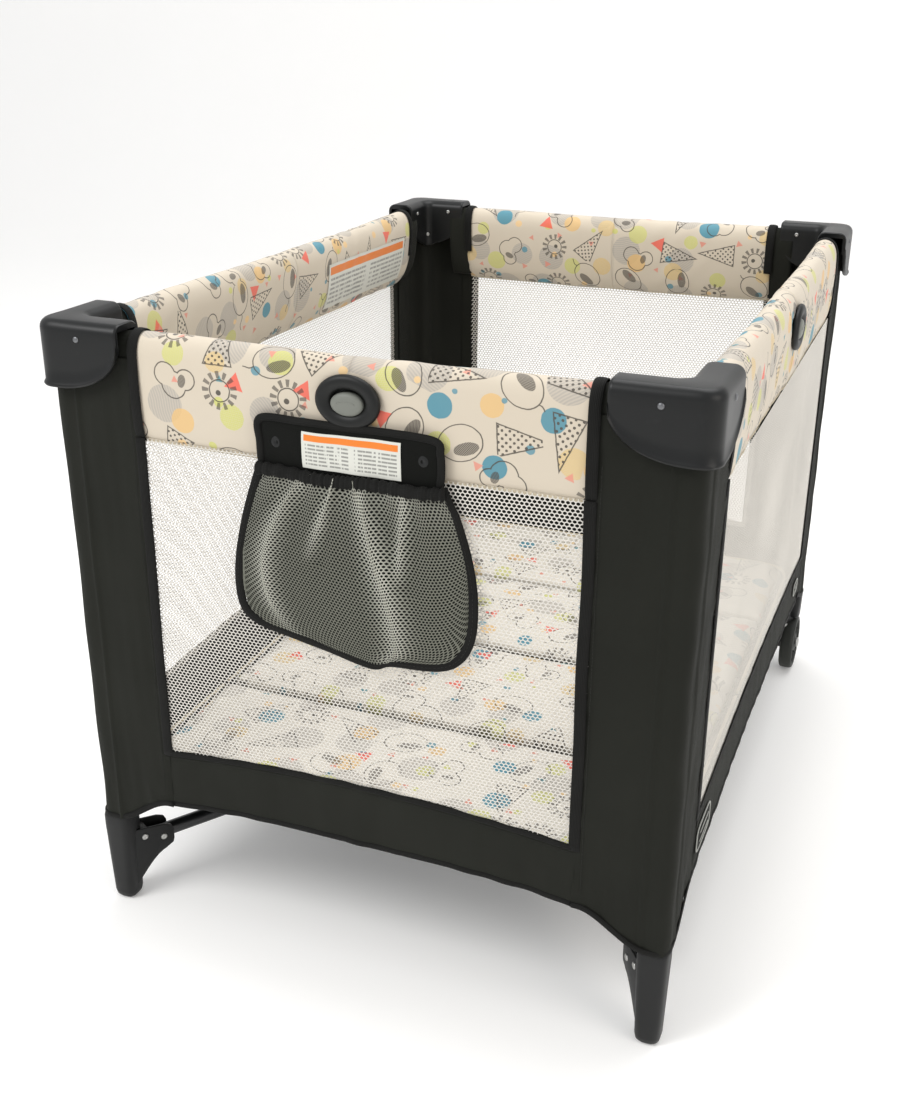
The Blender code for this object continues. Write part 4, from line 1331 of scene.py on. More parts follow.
def bag_front(points):
    """Places for flat netting on the bag's gathered front, and how strongly a painted highlight lightens it
    at each, along its folds and its gathered top. The netting is flat in x, across the bag, and -z, down from
    its top edge."""
    s = points[:, 0] / (BAG_FLAT[0] / 2)
    t = np.clip(-points[:, 2] / BAG_FLAT[1], 0, 1)
    x, z = bag_place(s, t, 0.610)
    edge = np.clip(1 - np.abs(s) ** 4, 0, 1) * np.sin(np.pi * np.clip(0.10 + 0.90 * t, 0, 1)) ** 0.6
    gathers = 0.0024 * np.sin(s * 26 + 2.0 * np.sin(s * 3)) * np.exp(-t / 0.22)
    y = POCKET_BACK - 0.0018 - 0.0140 * edge - gathers
    # Painted highlight: strongest along the gathered top, then along each fold.
    fold = 0.55 * np.exp(-t / 0.10)
    for start, middle, low, deep, wide, reach in BAG_FOLDS:
        line = start * (1 - t) * (1 - 2 * t) + middle * 4 * t * (1 - t) + low * t * (2 * t - 1)
        aside = s - line
        near = np.exp(-((aside / wide) ** 2)) * np.clip((reach - t) / 0.25, 0, 1)
        beside = np.exp(-(((aside - 1.6 * wide) / wide) ** 2)) * (near > 0)
        x = x - 0.80 * near * aside * 0.13
        fold = np.maximum(fold, near)
        y = y - deep * near * edge + 0.6 * deep * edge * beside
    y += points[:, 1] + 0.0012 * ripple(np.stack([x, z], 1), 88, 45.0) * edge
    y = np.clip(y, -0.5240, POCKET_BACK - 0.0008)
    x += 0.0022 * np.cos(s * 26 + 2.0 * np.sin(s * 3)) * np.exp(-t / 0.22)
    return np.stack([x, y, z], 1), fold


BAG_PITCH = 0.0046
BAG_STRAND = 0.0015


def whole_bag(x, z):
    return (np.abs(x) < BAG_FLAT[0] / 2) & (z > -BAG_FLAT[1])


span, drop = (-BAG_FLAT[0] / 2, BAG_FLAT[0] / 2), (-BAG_FLAT[1], 0.0)
bag = netting("pocket_bag", span, drop, whole_bag, BAG_PITCH, BAG_STRAND, POCKET_NET)
places, fold = bag_front(points_of(bag.data))
reshaped(bag, lambda points: places)
# The fold attribute carries the painted highlight into the netting's shader.
bag.data.attributes.new("fold", "FLOAT", "POINT").data.foreach_set("value", fold.astype(np.float32))
at_rest(bag, "latch_near", "pocket_mesh", "storage_pocket")
rows = []
for t in np.linspace(0, 1, 30):
    x, z = bag_place(np.linspace(-1, 1, 40), t, 0.611)
    y = POCKET_BACK + 0.0006 * ripple(np.stack([x, z], 1), 3, 40.0)
    rows.append(np.stack([x, y, z], 1))
bag_back = grid("pocket_bag_back", rows, POCKET_CLOTH, flip=True)
at_rest(bag_back, "latch_near", "pocket_mesh")
edge_line = np.column_stack([BAG_LINE[:, 0], 0 * BAG_LINE[:, 0] + POCKET_BACK - 0.0022, BAG_LINE[:, 1]])
edge_line[:, 1] += 0.0008 * ripple(BAG_LINE, 12, 50.0)
bag_edge = sweep("pocket_edge_tape", edge_line, oval(0.0052, 0.0019, 12), OUTWARD, TAPE)
at_rest(bag_edge, "latch_near", "charcoal_fabric")
bag_stitches = seam("pocket_edge_stitches", edge_line + (0, -0.0019, 0), OUTWARD, THREAD_DARK, pitch=0.0045)
at_rest(bag_stitches, "latch_near", "charcoal_fabric")

# The padded header's half width, foot and top.
HEADER = (0.097, 0.607, 0.6605)


def header_point(x, z, lift=0.0):
    """A point on the padded header's front, with its sag between the ends."""
    s, t = x / HEADER[0], (z - HEADER[1]) / (HEADER[2] - HEADER[1])
    crown = (1 - np.abs(s) ** 6) * (1 - np.abs(2 * t - 1) ** 4)
    y = POCKET_BACK - 0.0035 - 0.0032 * crown - lift - 0.0010 * ripple(np.stack([x, z], -1), 31, 60.0) * crown
    y = y - 0.0005 * ripple(np.stack([x, z * 0.6], -1), 32, 150.0) * crown * (np.abs(s) > 0.5)
    return np.stack([x, y, z + 0.0012 * np.sin(s * 4) * (t - 0.3)], -1)


half, foot, top = HEADER
x, z = np.meshgrid(np.linspace(-half, half, 70), np.linspace(foot, top, 26))
header = grid("pocket_header", header_point(x, z), POCKET_CLOTH)
at_rest(header, "latch_near", "charcoal_fabric")
rim = [(-half, foot), (-half - 0.001, 0.634), (-half + 0.001, top - 0.001), (-0.05, top + 0.0005), (0.0, top)]
rim += [(0.05, top + 0.0006), (half - 0.004, top - 0.002), (half + 0.001, 0.646), (half + 0.002, 0.628)]
rim.append((half, foot))
rim_line = smooth_path([(x, POCKET_BACK - 0.0040, z) for x, z in rim], 0.003)
header_rim = sweep("pocket_header_tape", rim_line, oval(0.0042, 0.0022, 12), OUTWARD, TAPE)
at_rest(header_rim, "latch_near", "charcoal_fabric")
band = []
for at in np.linspace(-0.101, 0.103, 180):
    squeeze = 1 + 0.12 * math.sin(at * 780 + 9 * math.sin(at * 47))
    squeeze += 0.08 * math.sin(at * 1730 + 5 * math.sin(at * 90))
    centre_y = POCKET_BACK - 0.0085
    centre_z = 0.6085 - 0.0030 * math.cos(at / 0.1 * 1.3) + 0.0012 * math.sin(at * 60)
    band.append([(at, centre_y + a * squeeze, centre_z + b * squeeze) for a, b in oval(0.0048, 0.0066, 20)])
elastic = outward(grid("pocket_elastic_band", band, TAPE, closed=True, ends=True))
at_rest(elastic, "latch_near", "charcoal_fabric")
snap_x = np.array((-0.078, 0.080))
snap_points = header_point(snap_x, np.full(2, 0.637), -0.0004)
unit = rivet_unit(0.0060, 0.0010, 0.0006)
snaps = repeated("pocket_snaps", unit, snap_points, facing(OUTWARD), FOOT_PLASTIC)
at_rest(snaps, "latch_near", "black_plastic")
cloth(bag, *BAG_FLAT, "gathered", ["pocket_elastic_band"], [bag_edge, bag_stitches, elastic])
cloth(bag_back, 0.265, 0.200, "hung", ["pocket_header"])
cloth(header, 2 * half, top - foot, "hung", ["latch_housing_shell_near"], [header_rim])

# ---------------------------------------------------------------- labels and sewn patches

LABEL = (0.107, 0.0385)
LABEL_SATIN = care_label("white satin pocket label", *LABEL)
left, foot = -0.049, 0.6145
x, z = np.meshgrid(np.linspace(left, left + LABEL[0], 44), np.linspace(foot, foot + LABEL[1], 18))
points = header_point(x, z, 0.0007 + 0.0004 * np.sin(x * 160))
uv = np.stack([x - left, z - foot], -1)
pocket_label = grid("pocket_label", points, LABEL_SATIN, uv=uv)
at_rest(pocket_label, "latch_near", "printed_fabric")
cloth(pocket_label, *LABEL, "laid", ["pocket_header"])

RAIL_LABEL = (0.262, 0.066)
RAIL_SATIN = care_label("white satin rail label", *RAIL_LABEL)
start, foot = 0.095, 0.6270
rows, _ = cover_rows("left", -np.linspace(start, start + RAIL_LABEL[0], 60))
heights = np.linspace(foot, foot + RAIL_LABEL[1], 16)
points = []
for section in rows:
    inner_face = (section[:, 2] > 0.6135) & (section[:, 2] < 0.7125) & (section[:, 1] > -0.012)
    face = section[inner_face]
    face = face[np.argsort(face[:, 2])]
    y = np.interp(heights, face[:, 2], face[:, 1]) + 0.0009
    points.append(np.column_stack([np.full(16, section[0, 0]), y, heights]))
points = np.array(points)
uv = np.stack([-points[:, :, 0] - start, points[:, :, 2] - foot], -1)
rail_label = grid("rail_label", points, RAIL_SATIN, side_matrix("left"), uv=uv)
at_rest(rail_label, rail_body("left", -1), "printed_fabric")
cloth(rail_label, *RAIL_LABEL, "laid", ["rail_cover_left_far"])
flatten(rail_label)



def superellipse(half_width, half_height, power, sides):
    """A ring between an oval (power 1) and a rectangle (power 0)."""
    angles = np.arange(sides) * 2 * math.pi / sides
    c, s = np.cos(angles), np.sin(angles)
    return np.stack(
        [half_width * np.sign(c) * np.abs(c) ** power, half_height * np.sign(s) * np.abs(s) ** power], 1
    )


PATCH_CLOTH = woven("dark grey patch twill", "#1e1f1c", pitch=0.0009)
# Each patch's middle and half size, on the skirt.
PATCHES = [(-0.352, 0.201, 0.036, 0.0165), (0.330, 0.206, 0.020, 0.0095)]
for number, (own_x, own_z, half_x, half_z) in enumerate(PATCHES, 1):
    matrix = side_matrix("right")
    ring = superellipse(half_x, half_z, 0.45, 48)

    def patch_ring(share, lift):
        x, z = (ring * share).T
        return np.column_stack([own_x + x, 0 * x + WALL_Y - lift, own_z + z])

    rows = [patch_ring(k, 0.0030 + 0.0006 * (1 - k)) for k in (1.0, 0.85, 0.5, 0.04)]
    patch = grid(f"sewn_patch_{number}", rows, PATCH_CLOTH, matrix, closed=True)
    name, section = f"patch_border_{number}", oval(0.0012, 0.0008, 8)
    border = sweep(name, patch_ring(0.97, 0.0031), section, OUTWARD, PATCH_THREAD, matrix, loop=True)
    bars = []
    for k in (-0.35, 0.35):
        z = own_z + half_z * k
        bar = [(own_x + half_x * 0.60 * share, WALL_Y - 0.0040, z) for share in (-1, -0.5, 0, 0.5, 1)]
        bars.append(sweep("bar", bar, oval(0.0009, 0.0006, 8), OUTWARD, PATCH_THREAD, matrix))
    stripes = joined(f"patch_stripes_{number}", *bars)
    for obj in (patch, border, stripes):
        at_rest(obj, "corner_nr", "charcoal_fabric")
        gather(obj)
    cloth(patch, 2 * half_x, 2 * half_z, "laid", ["skirt_right"], [border, stripes])


# ---------------------------------------------------------------- feet, brackets and wheels


def arm_matrix(corner):
    """A corner's own frame turned so that X runs from the post along its floor arm."""
    sx, sy = CORNERS[corner]
    angle = math.atan2(-sy * ARM_ALONG.y, -sx * ARM_ALONG.x)
    return Matrix.Translation((sx * POST_X, sy * POST_Y, 0)) @ Matrix.Rotation(angle, 4, "Z")


def stacked(name, levels, material, matrix, sides=32):
    """Squarish rings of (z, half width, roundness), joined and closed."""
    rings = []
    for z, width, power in levels:
        rings.append(np.column_stack([superellipse(width, width, power, sides), np.full(sides, z)]))
    return outward(grid(name, rings, material, matrix, closed=True, ends=True))


ACROSS = Matrix(((1, 0, 0, 0), (0, 0, 1, 0), (0, 1, 0, 0), (0, 0, 0, 1)))


def clevis(matrix, start, low_start, high, material):
    """Two cheeks and the web between them, hollowed below in a curve from the foot to the arm."""
    outline = [(start, high + 0.006), (start, low_start)]
    rise = 0.0555 - low_start
    for k in range(1, 9):
        t = k / 9
        outline.append((start + (0.054 - start) * t, low_start + rise * math.sin(math.pi / 2 * t) ** 1.15))
    outline += [(0.0585, 0.0600), (0.0600, 0.0660), (0.0600, 0.0800), (0.0570, 0.0860), (0.0480, high)]
    place = matrix @ ACROSS
    parts = []
    for low, up in ((-0.0135, -0.0098), (0.0098, 0.0135)):
        parts.append(extruded("cheek", outline, low, up, material, place, soft=0.0010, segments=2))
    gap = 0.0100
    web = [(start, high + 0.004), (start, low_start + 0.001), (0.020, low_start + rise * 0.45)]
    web += [(0.0275, 0.052), (0.0275, high)]
    parts.append(extruded("web", web, -gap, gap, material, place, soft=0.0006, segments=2))
    lip = [(0.030, 0.0578), (0.058, 0.0590), (0.058, 0.0615), (0.030, 0.0608)]
    parts.append(extruded("lip", lip, -gap, gap, material, place, soft=0.0004, segments=1))
    for part in parts:
        outward(part)
    return parts


def pivot_rivets(name, matrix):
    """The heads of the clevis pin, and of the screw through the web beside it."""
    places = []
    for sign in (-1, 1):
        places.append(((FOOT_PIVOT, sign * 0.0138, ARM_Z), facing((0, sign, 0))))
        places.append(((0.0215, sign * 0.0138, ARM_Z + 0.009), facing((0, sign, 0))))
    return repeated(name, rivet_unit(0.0042, 0.0016, 0.0006), *zip(*places), RIVET, matrix)


for corner in ("nl", "nr"):
    body = f"corner_{corner}"
    matrix = arm_matrix(corner)
    square = corner_matrix(corner)
    levels = [(0.0, 0.0088, 0.70), (0.0012, 0.0114, 0.68), (0.004, 0.0135, 0.64), (0.010, 0.0146, 0.60)]
    levels += [(0.030, 0.0150, 0.54), (0.060, 0.0158, 0.50), (0.088, 0.0166, 0.48), (0.108, 0.0172, 0.47)]
    levels += [(0.120, 0.0172, 0.47), (0.1225, 0.0168, 0.47), (0.1240, 0.0158, 0.47)]
    leg = stacked("leg", levels, FOOT_PLASTIC, square)
    foot = joined(f"foot_moulding_{corner}", leg, *clevis(matrix, 0.004, 0.014, 0.0900, FOOT_PLASTIC))
    at_rest(foot, body, "black_plastic", f"foot_{corner}")
    rivets = pivot_rivets(f"foot_rivets_{corner}", matrix)
    at_rest(rivets, body, "steel", f"foot_pin_{corner}")

for corner in ("fl", "fr"):
    body = f"corner_{corner}"
    sx = CORNERS[corner][0]
    matrix = arm_matrix(corner)
    square = corner_matrix(corner)
    plain = Matrix.Translation((sx * POST_X, POST_Y, 0))
    levels = [(0.0935, 0.0150), (0.0950, 0.0168), (0.120, 0.0174), (0.137, 0.0176), (0.1400, 0.0165)]
    socket = stacked("socket", [(*level, 0.47) for level in levels], FOOT_PLASTIC, square)
    inner = (WHEEL_X - POST_X) - 0.012
    along = WHEEL_Y - POST_Y
    cheek = []
    for k in range(13):
        angle = math.pi + math.pi * k / 12
        cheek.append((along + 0.0120 * math.cos(angle), WHEEL_R + 0.0120 * math.sin(angle)))
    cheek += [(along + 0.0150, 0.098), (along - 0.0150, 0.098)]
    place = plain @ Matrix(((0, 0, sx, 0), (1, 0, 0, 0), (0, 1, 0, 0), (0, 0, 0, 1)))
    low, high = inner - 0.0070, inner - 0.0004
    arm = outward(extruded("cheek", cheek, low, high, FOOT_PLASTIC, place, soft=0.0010, segments=2))
    cheeks = clevis(matrix, 0.006, 0.058, 0.0980, FOOT_PLASTIC)
    bracket = joined(f"wheel_bracket_moulding_{corner}", socket, arm, *cheeks)
    at_rest(bracket, body, "black_plastic", f"wheel_bracket_{corner}")
    rivets = pivot_rivets(f"bracket_rivets_{corner}", matrix)
    at_rest(rivets, body, "steel", f"foot_pin_{corner}")
    bosses = []
    profile = [(0.0, 0.0055), (0.0078, 0.0055), (0.0090, 0.0045), (0.0094, 0.0), (0.0, 0.0)]
    for sign in (-1, 1):
        place = matrix @ Matrix.Translation((FOOT_PIVOT, sign * 0.0134, ARM_Z))
        place = place @ Matrix.Rotation(-sign * math.pi / 2, 4, "X")
        bosses.append(lathe("boss", profile, BOSS_PLASTIC, place, 28))
    at_rest(joined(f"pivot_boss_{corner}", *bosses), body, "grey_plastic")
    axle = Matrix.Translation((sx * WHEEL_X, WHEEL_Y, WHEEL_R)) @ Matrix.Rotation(sx * math.pi / 2, 4, "Y")
    profile = [(0, 0.0155), (0.0050, 0.0152), (0.0075, 0.0142), (0.0082, 0.0125), (0.0082, 0.0112)]
    profile.append((0, 0.0112))
    end_cap = lathe(f"axle_cap_{corner}", profile, RIVET, axle, 28)
    at_rest(end_cap, body, "steel")
    outer_half = [(0.0046, 0.0095), (0.0120, 0.0098), (0.0140, 0.0090), (0.0160, 0.0070), (0.0340, 0.0062)]
    outer_half += [(0.0362, 0.0070), (0.0375, 0.0098), (0.0400, 0.0108), (0.0430, 0.0098), (0.0446, 0.0075)]
    outer_half.append((WHEEL_R, 0.0040))
    profile = outer_half + [(radius, -height) for radius, height in outer_half[::-1]] + outer_half[:1]
    rim = lathe("rim", profile, WHEEL_PLASTIC, axle, 64)
    rib_x, rib_y, rib_z = 0.0110, 0.0011, 0.0088
    outline = [(-rib_x, -rib_y), (rib_x, -rib_y), (rib_x, rib_y), (-rib_x, rib_y)]
    rib = extruded("rib unit", outline, -rib_z, rib_z, WHEEL_PLASTIC, soft=0.0004, segments=1)
    angles = np.arange(10) * 2 * math.pi / 10
    points = np.stack([0.0255 * np.cos(angles), 0.0255 * np.sin(angles), 0 * angles], 1)
    turns = np.stack([0 * angles, 0 * angles, angles], 1)
    ribs = repeated("ribs", rib, points, turns, WHEEL_PLASTIC, axle)
    wheel = joined(f"wheel_moulding_{corner}", rim, ribs)
    wheel.data.shade_smooth()
    wheel.data.set_sharp_from_angle(angle=math.radians(35))
    at_rest(wheel, f"wheel_{corner}", "wheel_plastic", f"wheel_{corner}")


# ---------------------------------------------------------------- floor frame


def tube_between(name, start, end, radius, material, sides=28):
    """A round tube with softly swaged, closed ends."""
    start, end = Vector(start), Vector(end)
    along = (end - start).normalized()
    side = along.cross(Vector((0, 0, 1))).normalized()
    up = side.cross(along)
    length = (end - start).length
    swage = [(0, 0.55), (0.0006, 0.85), (0.0022, 1), (0.02, 1), (0.06, 1)]
    rings = []
    for at, r in swage + [(length - reach, share) for reach, share in swage[::-1]]:
        centre = start + along * at
        rings.append([tuple(centre + side * a + up * b) for a, b in oval(radius * r, radius * r, sides)])
    return outward(grid(name, rings, material, closed=True, ends=True))


for corner, (sx, sy) in CORNERS.items():
    foot_end = Vector((POST_X, POST_Y, 0)) - FOOT_PIVOT * ARM_ALONG
    hub_end = Vector((HUB_CORNER, HUB_CORNER, 0)) - FOOT_PIVOT * ARM_ALONG
    outer, inner = (Vector((sx * end.x, sy * end.y, ARM_Z)) for end in (foot_end, hub_end))
    past = (inner - outer).normalized() * 0.010
    arm = tube_between(f"floor_arm_tube_{corner}", outer - past, inner + past, ARM_R, TUBE_PAINT)
    at_rest(arm, f"arm_{corner}", "painted_tube", f"floor_arm_{corner}")

for side, sx in (("left", -1), ("right", 1)):
    y = sx * 0.012
    run, bend = 0.304, 0.050
    path = [(sx * x, y, ARM_Z) for x in (0.035, 0.12, 0.20, run - bend)]
    for k in range(1, 9):
        angle = math.pi / 2 * k / 8
        reach, drop = run - bend + bend * math.sin(angle), bend - bend * math.cos(angle)
        path.append((sx * reach, y, ARM_Z - drop))
    path += [(sx * run, y, 0.012), (sx * run, y, 0.0005)]
    leg = sweep(f"centre_leg_tube_{side}", path, oval(LEG_R, LEG_R, 28), (0, 1, 0), TUBE_PAINT)
    at_rest(leg, f"leg_{side}", "painted_tube", f"centre_leg_{side}")
    profile = [(0, 0), (0.0088, 0), (0.0100, 0.0012), (0.0103, 0.004), (0.0101, 0.020), (0.0096, 0.0225)]
    profile.append((0, 0.0225))
    tip = lathe(f"centre_leg_tip_{side}", profile, FOOT_PLASTIC, Matrix.Translation((sx * run, y, 0)), 28)
    at_rest(tip, f"leg_{side}", "black_plastic")

# The posts and the hub keep their own shapes, and only take their finish here.
for name, finish in [(f"post_{corner}", TUBE_PAINT) for corner in CORNERS] + [("hub", FOOT_PLASTIC)]:
    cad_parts[name].data.materials.clear()
    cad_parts[name].data.materials.append(finish)

half = [(0.008, 0.0, 0.1650), (0.020, 0.0, 0.1646), (0.028, 0.0, 0.1642)]
strap_line = smooth_path([(-x, y, z) for x, y, z in half[::-1]] + half, 0.003)
section = [(-0.0125, -0.0008), (0.0125, -0.0008), (0.0125, 0.0008), (-0.0125, 0.0008)]
strap = sweep("pull_strap_webbing", strap_line, section, (0, 0, 1), WEBBING)
at_rest(strap, "hub", "webbing", "pull_strap")

# ---------------------------------------------------------------- floor cloth, in strips that follow the arms


def clipped(polygon, normal, limit):
    """The part of a polygon where point . normal <= limit."""
    kept = []
    for i, a in enumerate(polygon):
        b = polygon[(i + 1) % len(polygon)]
        da, db = a @ normal - limit, b @ normal - limit
        if da <= 0:
            kept.append(a)
        if (da < 0 < db) or (db < 0 < da):
            kept.append(a + (b - a) * (da / (da - db)))
    return kept


FLOOR_HALF = (POST_X + 0.0120, POST_Y + 0.0120)
FLOOR_Z = 0.1672
FLOOR_MIDDLE = 0.0688
POST_CLEAR = 0.0135
STRIPS = 6


def floor_piece(name, polygon, z):
    """A thin cut of the floor cloth with a fine mesh."""
    bm = bmesh.new()
    bm.faces.new([bm.verts.new((p[0], p[1], z)) for p in polygon])
    bmesh.ops.triangulate(bm, faces=bm.faces)
    bmesh.ops.subdivide_edges(bm, edges=bm.edges, cuts=6, use_grid_fill=True)
    bmesh.ops.recalc_face_normals(bm, faces=bm.faces)
    mesh = bpy.data.meshes.new(name)
    bm.to_mesh(mesh)
    bm.free()
    layer = mesh.uv_layers.new(name="metres")
    for loop in mesh.loops:
        layer.data[loop.index].uv = mesh.vertices[loop.vertex_index].co.xy
    return link(name, mesh, LINER)


for corner, (sx, sy) in CORNERS.items():
    along = np.array((sx * ARM_ALONG.x, sy * ARM_ALONG.y))
    across = np.array((-along[1], along[0]))
    far_x, far_y = FLOOR_HALF
    edge = [(0, 0), (far_x, 0), (far_x, POST_Y - 0.035), (POST_X - POST_CLEAR, POST_Y - POST_CLEAR)]
    edge += [(POST_X - 0.035, far_y), (0, far_y)]
    quarter = [np.array((sx * x, sy * y)) for x, y in edge]
    outer_part = clipped(quarter, -along, -FLOOR_MIDDLE)
    offsets = [p @ across for p in outer_part]
    cuts = np.linspace(min(offsets), max(offsets), STRIPS + 1)
    for k in range(STRIPS):
        strip = clipped(clipped(outer_part, across, cuts[k + 1]), -across, -cuts[k])
        piece = floor_piece(f"floor_cloth_{corner}_{k + 1}", strip, FLOOR_Z)
        at_rest(piece, f"arm_{corner}", "charcoal_fabric", "floor_cloth")
        middle = (cuts[k] + cuts[k + 1]) / 2
        points = np.array(strip)
        length, width = np.ptp(points @ along), np.ptp(points @ across)
        if surface(piece) > 0.3 * length * width:
            cloth(piece, length, width, "laid", [f"floor_arm_tube_{corner}"])
        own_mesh(piece)
reach_x, reach_y = FLOOR_MIDDLE / ARM_ALONG.x, FLOOR_MIDDLE / ARM_ALONG.y
diamond = [(reach_x, 0), (0, reach_y), (-reach_x, 0), (0, -reach_y)]
centre = floor_piece("floor_cloth_middle", diamond, FLOOR_Z)
at_rest(centre, "hub", "charcoal_fabric", "floor_cloth")
cloth(centre, 2 * reach_x, 2 * reach_y, "laid", ["hub"])
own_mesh(centre)

# ---------------------------------------------------------------- mattress


CREASE_LINES = [-MATTRESS_HALF[1], -CREASE, 0.0, CREASE, MATTRESS_HALF[1]]
CREASE_GAP = 0.0004
FRAMES = 20


def pad_start(number):
    """A plain slab a little smaller than the panel, with round corners at the mattress's ends."""
    low = CREASE_LINES[number - 1] + (CREASE_GAP if number > 1 else 0.0050)
    high = CREASE_LINES[number] - (CREASE_GAP if number < 4 else 0.0050)
    x = MATTRESS_HALF[0] - 0.004
    round_low = 0.046 if number == 1 else 0.004
    round_high = 0.046 if number == 4 else 0.004
    outline = []
    for sx, sy, bend in ((1, 1, round_high), (-1, 1, round_high), (-1, -1, round_low), (1, -1, round_low)):
        y = high if sy > 0 else low
        for k in range(7):
            angle = math.pi / 2 * (k / 6 if sx * sy > 0 else 1 - k / 6)
            outline.append((sx * (x - bend + bend * math.cos(angle)), y + sy * bend * (math.sin(angle) - 1)))
    return extruded(f"mattress_pad_{number}", outline, 0.1725, 0.1860, PAD_PRINT, soft=0.0016, segments=2)


def inflate(pad, limit):
    """Voxel remesh, then a few frames of cloth with pressure inside, each point kept within a limit of its
    start."""
    bake(pad, REMESH={"mode": "VOXEL", "voxel_size": 0.0058, "use_smooth_shade": True})
    start = points_of(pad.data)
    modifier = pad.modifiers.new("cloth", "CLOTH")
    settings = modifier.settings
    settings.quality = 4
    settings.mass = 0.25
    settings.tension_stiffness = 12
    settings.compression_stiffness = 12
    settings.bending_stiffness = 0.8
    settings.use_pressure = True
    settings.uniform_pressure_force = 4.0
    settings.effector_weights.gravity = 0.0
    modifier.collision_settings.use_collision = False
    modifier.point_cache.frame_start = 1
    modifier.point_cache.frame_end = FRAMES
    scene = bpy.context.scene
    for number in range(1, FRAMES + 1):
        scene.frame_set(number)
    depsgraph = bpy.context.evaluated_depsgraph_get()
    blown = bpy.data.meshes.new_from_object(pad.evaluated_get(depsgraph))
    shift = points_of(blown) - start
    length = np.linalg.norm(shift, axis=1, keepdims=True)
    shift *= np.minimum(1.0, limit / np.maximum(length, 1e-9))
    pad.modifiers.clear()
    pad.data = blown
    blown.vertices.foreach_set("co", (start + shift).ravel())
    scene.frame_set(1)


def settle_pad(pad, number, low, high):
    """Flattens the pad's underside where it rests, quilts it faintly and keeps it inside its thickness."""

    def press(points):
        wave = ripple(points[:, :2], 60 + number, 34.0) * 0.0007
        wave = wave + ripple(points[:, :2], 61 + number, 11.0) * 0.0006
        points[:, 2] += np.where(points[:, 2] > 0.179, wave, 0.0)
        points[:, 2] = np.clip(points[:, 2], 0.1683, 0.1925)
        points[:, 0] = np.clip(points[:, 0], -0.3285, 0.3285)
        points[:, 1] = np.clip(points[:, 1], low, high)
        return points

    reshaped(pad, press)
    bake(pad, SUBSURF={"levels": 1, "render_levels": 1})
    pad.data.shade_smooth()


PANEL_BODY = {1: "mattress_flap_1", 2: "mattress", 3: "mattress_flap_3", 4: "mattress_flap_4"}
for number in (1, 2, 3, 4):
    pad = pad_start(number)
    inflate(pad, 0.0075)
    settle_pad(pad, number, CREASE_LINES[number - 1] + CREASE_GAP, CREASE_LINES[number] - CREASE_GAP)
    pad.data.materials.clear()
    pad.data.materials.append(PAD_PRINT)
    at_rest(pad, PANEL_BODY[number], "mattress_fabric", f"mattress_panel_{number}")
    width, length = MATTRESS_HALF
    name, cord, up = f"mattress_piping_{number}", oval(0.0022, 0.0022, 10), (0, 0, 1)
    if number in (1, 4):
        sy = -1 if number == 1 else 1
        side_x = width - 0.001
        half = [(side_x, CREASE + 0.006), (side_x, length - 0.068), (side_x, length - 0.050)]
        half.append((width - 0.0145, length - 0.0145))
        half += [(width - 0.050, length - 0.001), (width - 0.10, length - 0.001)]
        line = [(-x, sy * y, PIPING_Z) for x, y in half] + [(x, sy * y, PIPING_Z) for x, y in half[::-1]]
        piping = sweep(name, smooth_path(line, 0.006), cord, up, HEM)
    else:
        runs = []
        low, high = CREASE_LINES[number - 1 : number + 1]
        for sx in (-1, 1):
            line = [(sx * (width - 0.001), y, PIPING_Z) for y in np.arange(low + 0.006, high - 0.005, 0.006)]
            runs.append(sweep("run", line, cord, up, HEM))
        piping = joined(name, *runs)
    at_rest(piping, PANEL_BODY[number], "mattress_fabric")


# ---------------------------------------------------------------- room, light and camera

BACKDROP, tree, shader = new_material("pale matt floor")
soft = ramp(tree, noise(tree, object_point(tree), 3.0, 3.0), 0.0, 0.5)
paper = mixed(tree, soft, linear("#f7f6f4"), linear("#f3f2ef"))
settle(shader, tree, Base_Color=paper, Roughness=0.9, Specular_IOR_Level=0.2)
settle(shader, tree, Emission_Color=linear("#ffffff"), Emission_Strength=0.14)
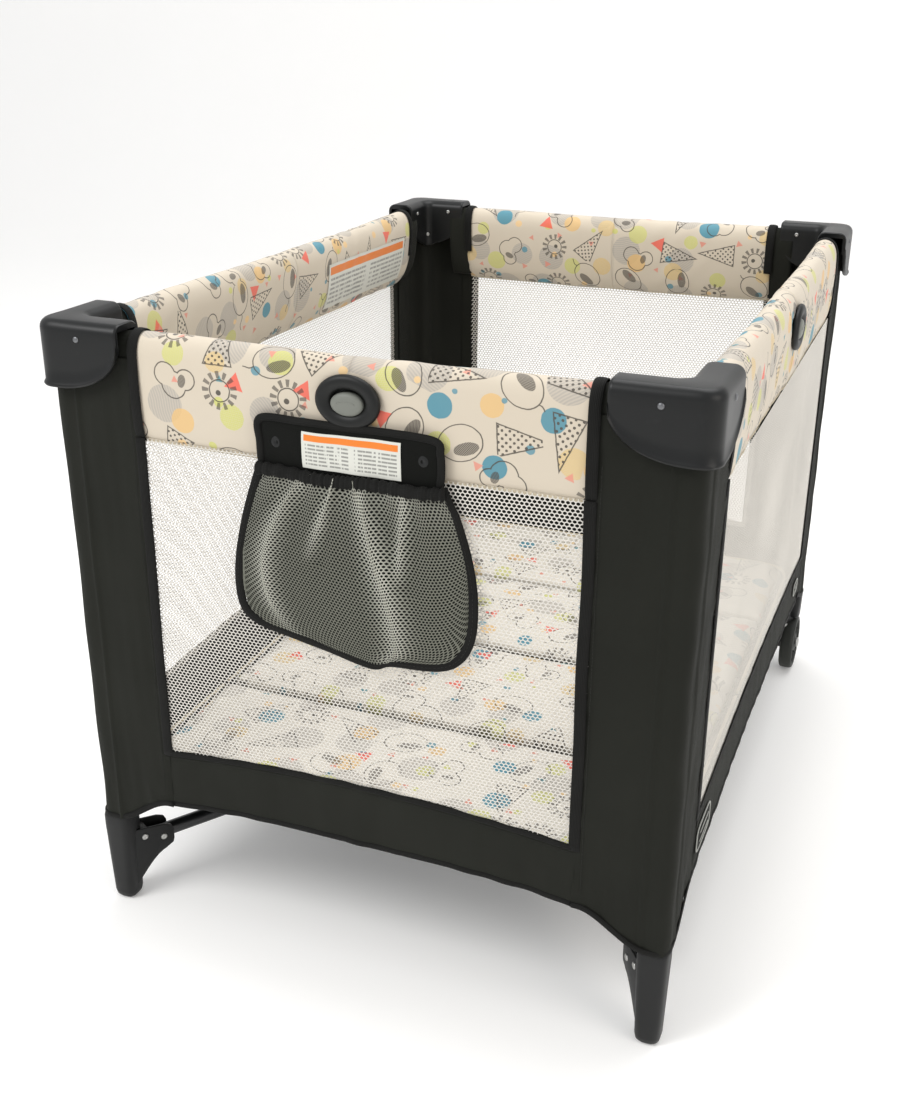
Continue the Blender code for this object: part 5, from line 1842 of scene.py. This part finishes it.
# a flat floor, then a quarter turn up into the wall behind
sweep_start, sweep_bend = 3.2, 1.6
profile = [(y, 0.0) for y in (-4.0, -2.0, 0.0, 2.0, sweep_start)]
for angle in np.linspace(0.15, math.pi / 2, 10):
    profile.append((sweep_start + sweep_bend * math.sin(angle), sweep_bend * (1 - math.cos(angle))))
profile.append((sweep_start + sweep_bend, 4.0))
floor_rows = [[(x, y, z) for x in (-6.0, -3.0, 0.0, 3.0, 6.0)] for y, z in profile]
backdrop = grid("studio_floor", floor_rows, BACKDROP)
reshaped(backdrop, lambda points: points - (0, 0, 0.0005))

world = bpy.data.worlds.new("studio")
world.use_nodes = True
world.node_tree.nodes["Background"].inputs["Color"].default_value = linear("#f3f4f6")
world.node_tree.nodes["Background"].inputs["Strength"].default_value = 0.80
bpy.context.scene.world = world


def soft_light(name, at, aim, power, size, colour="#ffffff"):
    """A round soft box at a place, turned to its aim."""
    data = bpy.data.lights.new(name, "AREA")
    data.energy = power
    data.shape = "DISK"
    data.size = size
    data.color = linear(colour)[:3]
    obj = bpy.data.objects.new(name, data)
    bpy.context.scene.collection.objects.link(obj)
    obj.location = at
    obj.rotation_euler = (Vector(aim) - Vector(at)).to_track_quat("-Z", "Y").to_euler()


soft_light("key", (-1.6, -2.4, 2.9), (0, 0, 0.4), 62, 1.6)
soft_light("fill", (2.6, -1.2, 1.8), (0, 0, 0.4), 20, 1.8, "#fff8f0")
soft_light("top", (0.2, 0.6, 3.0), (0, 0, 0.2), 42, 2.2)

# The camera stands a little to the right of the near end and looks down.
AZIMUTH, ELEVATION, ROLL = (math.radians(a) for a in (21.697, 22.777, 0.3572))
level = Vector((math.cos(AZIMUTH), math.sin(AZIMUTH), 0))
back = Vector((level.y, -level.x, 0)) * math.cos(ELEVATION) + Vector((0, 0, math.sin(ELEVATION)))
above = back.cross(level)
right = level * math.cos(ROLL) + above * math.sin(ROLL)
above = above * math.cos(ROLL) - level * math.sin(ROLL)
camera = bpy.data.objects.new("camera", bpy.data.cameras.new("camera"))
bpy.context.scene.collection.objects.link(camera)
turn = Matrix((right, above, back)).transposed().to_4x4()
camera.matrix_world = Matrix.Translation((0.5470, -1.5911, 1.0445)) @ turn
camera.data.sensor_width = 36
camera.data.lens = 42.908
bpy.context.scene.camera = camera
bpy.context.scene.view_settings.view_transform = "Standard"
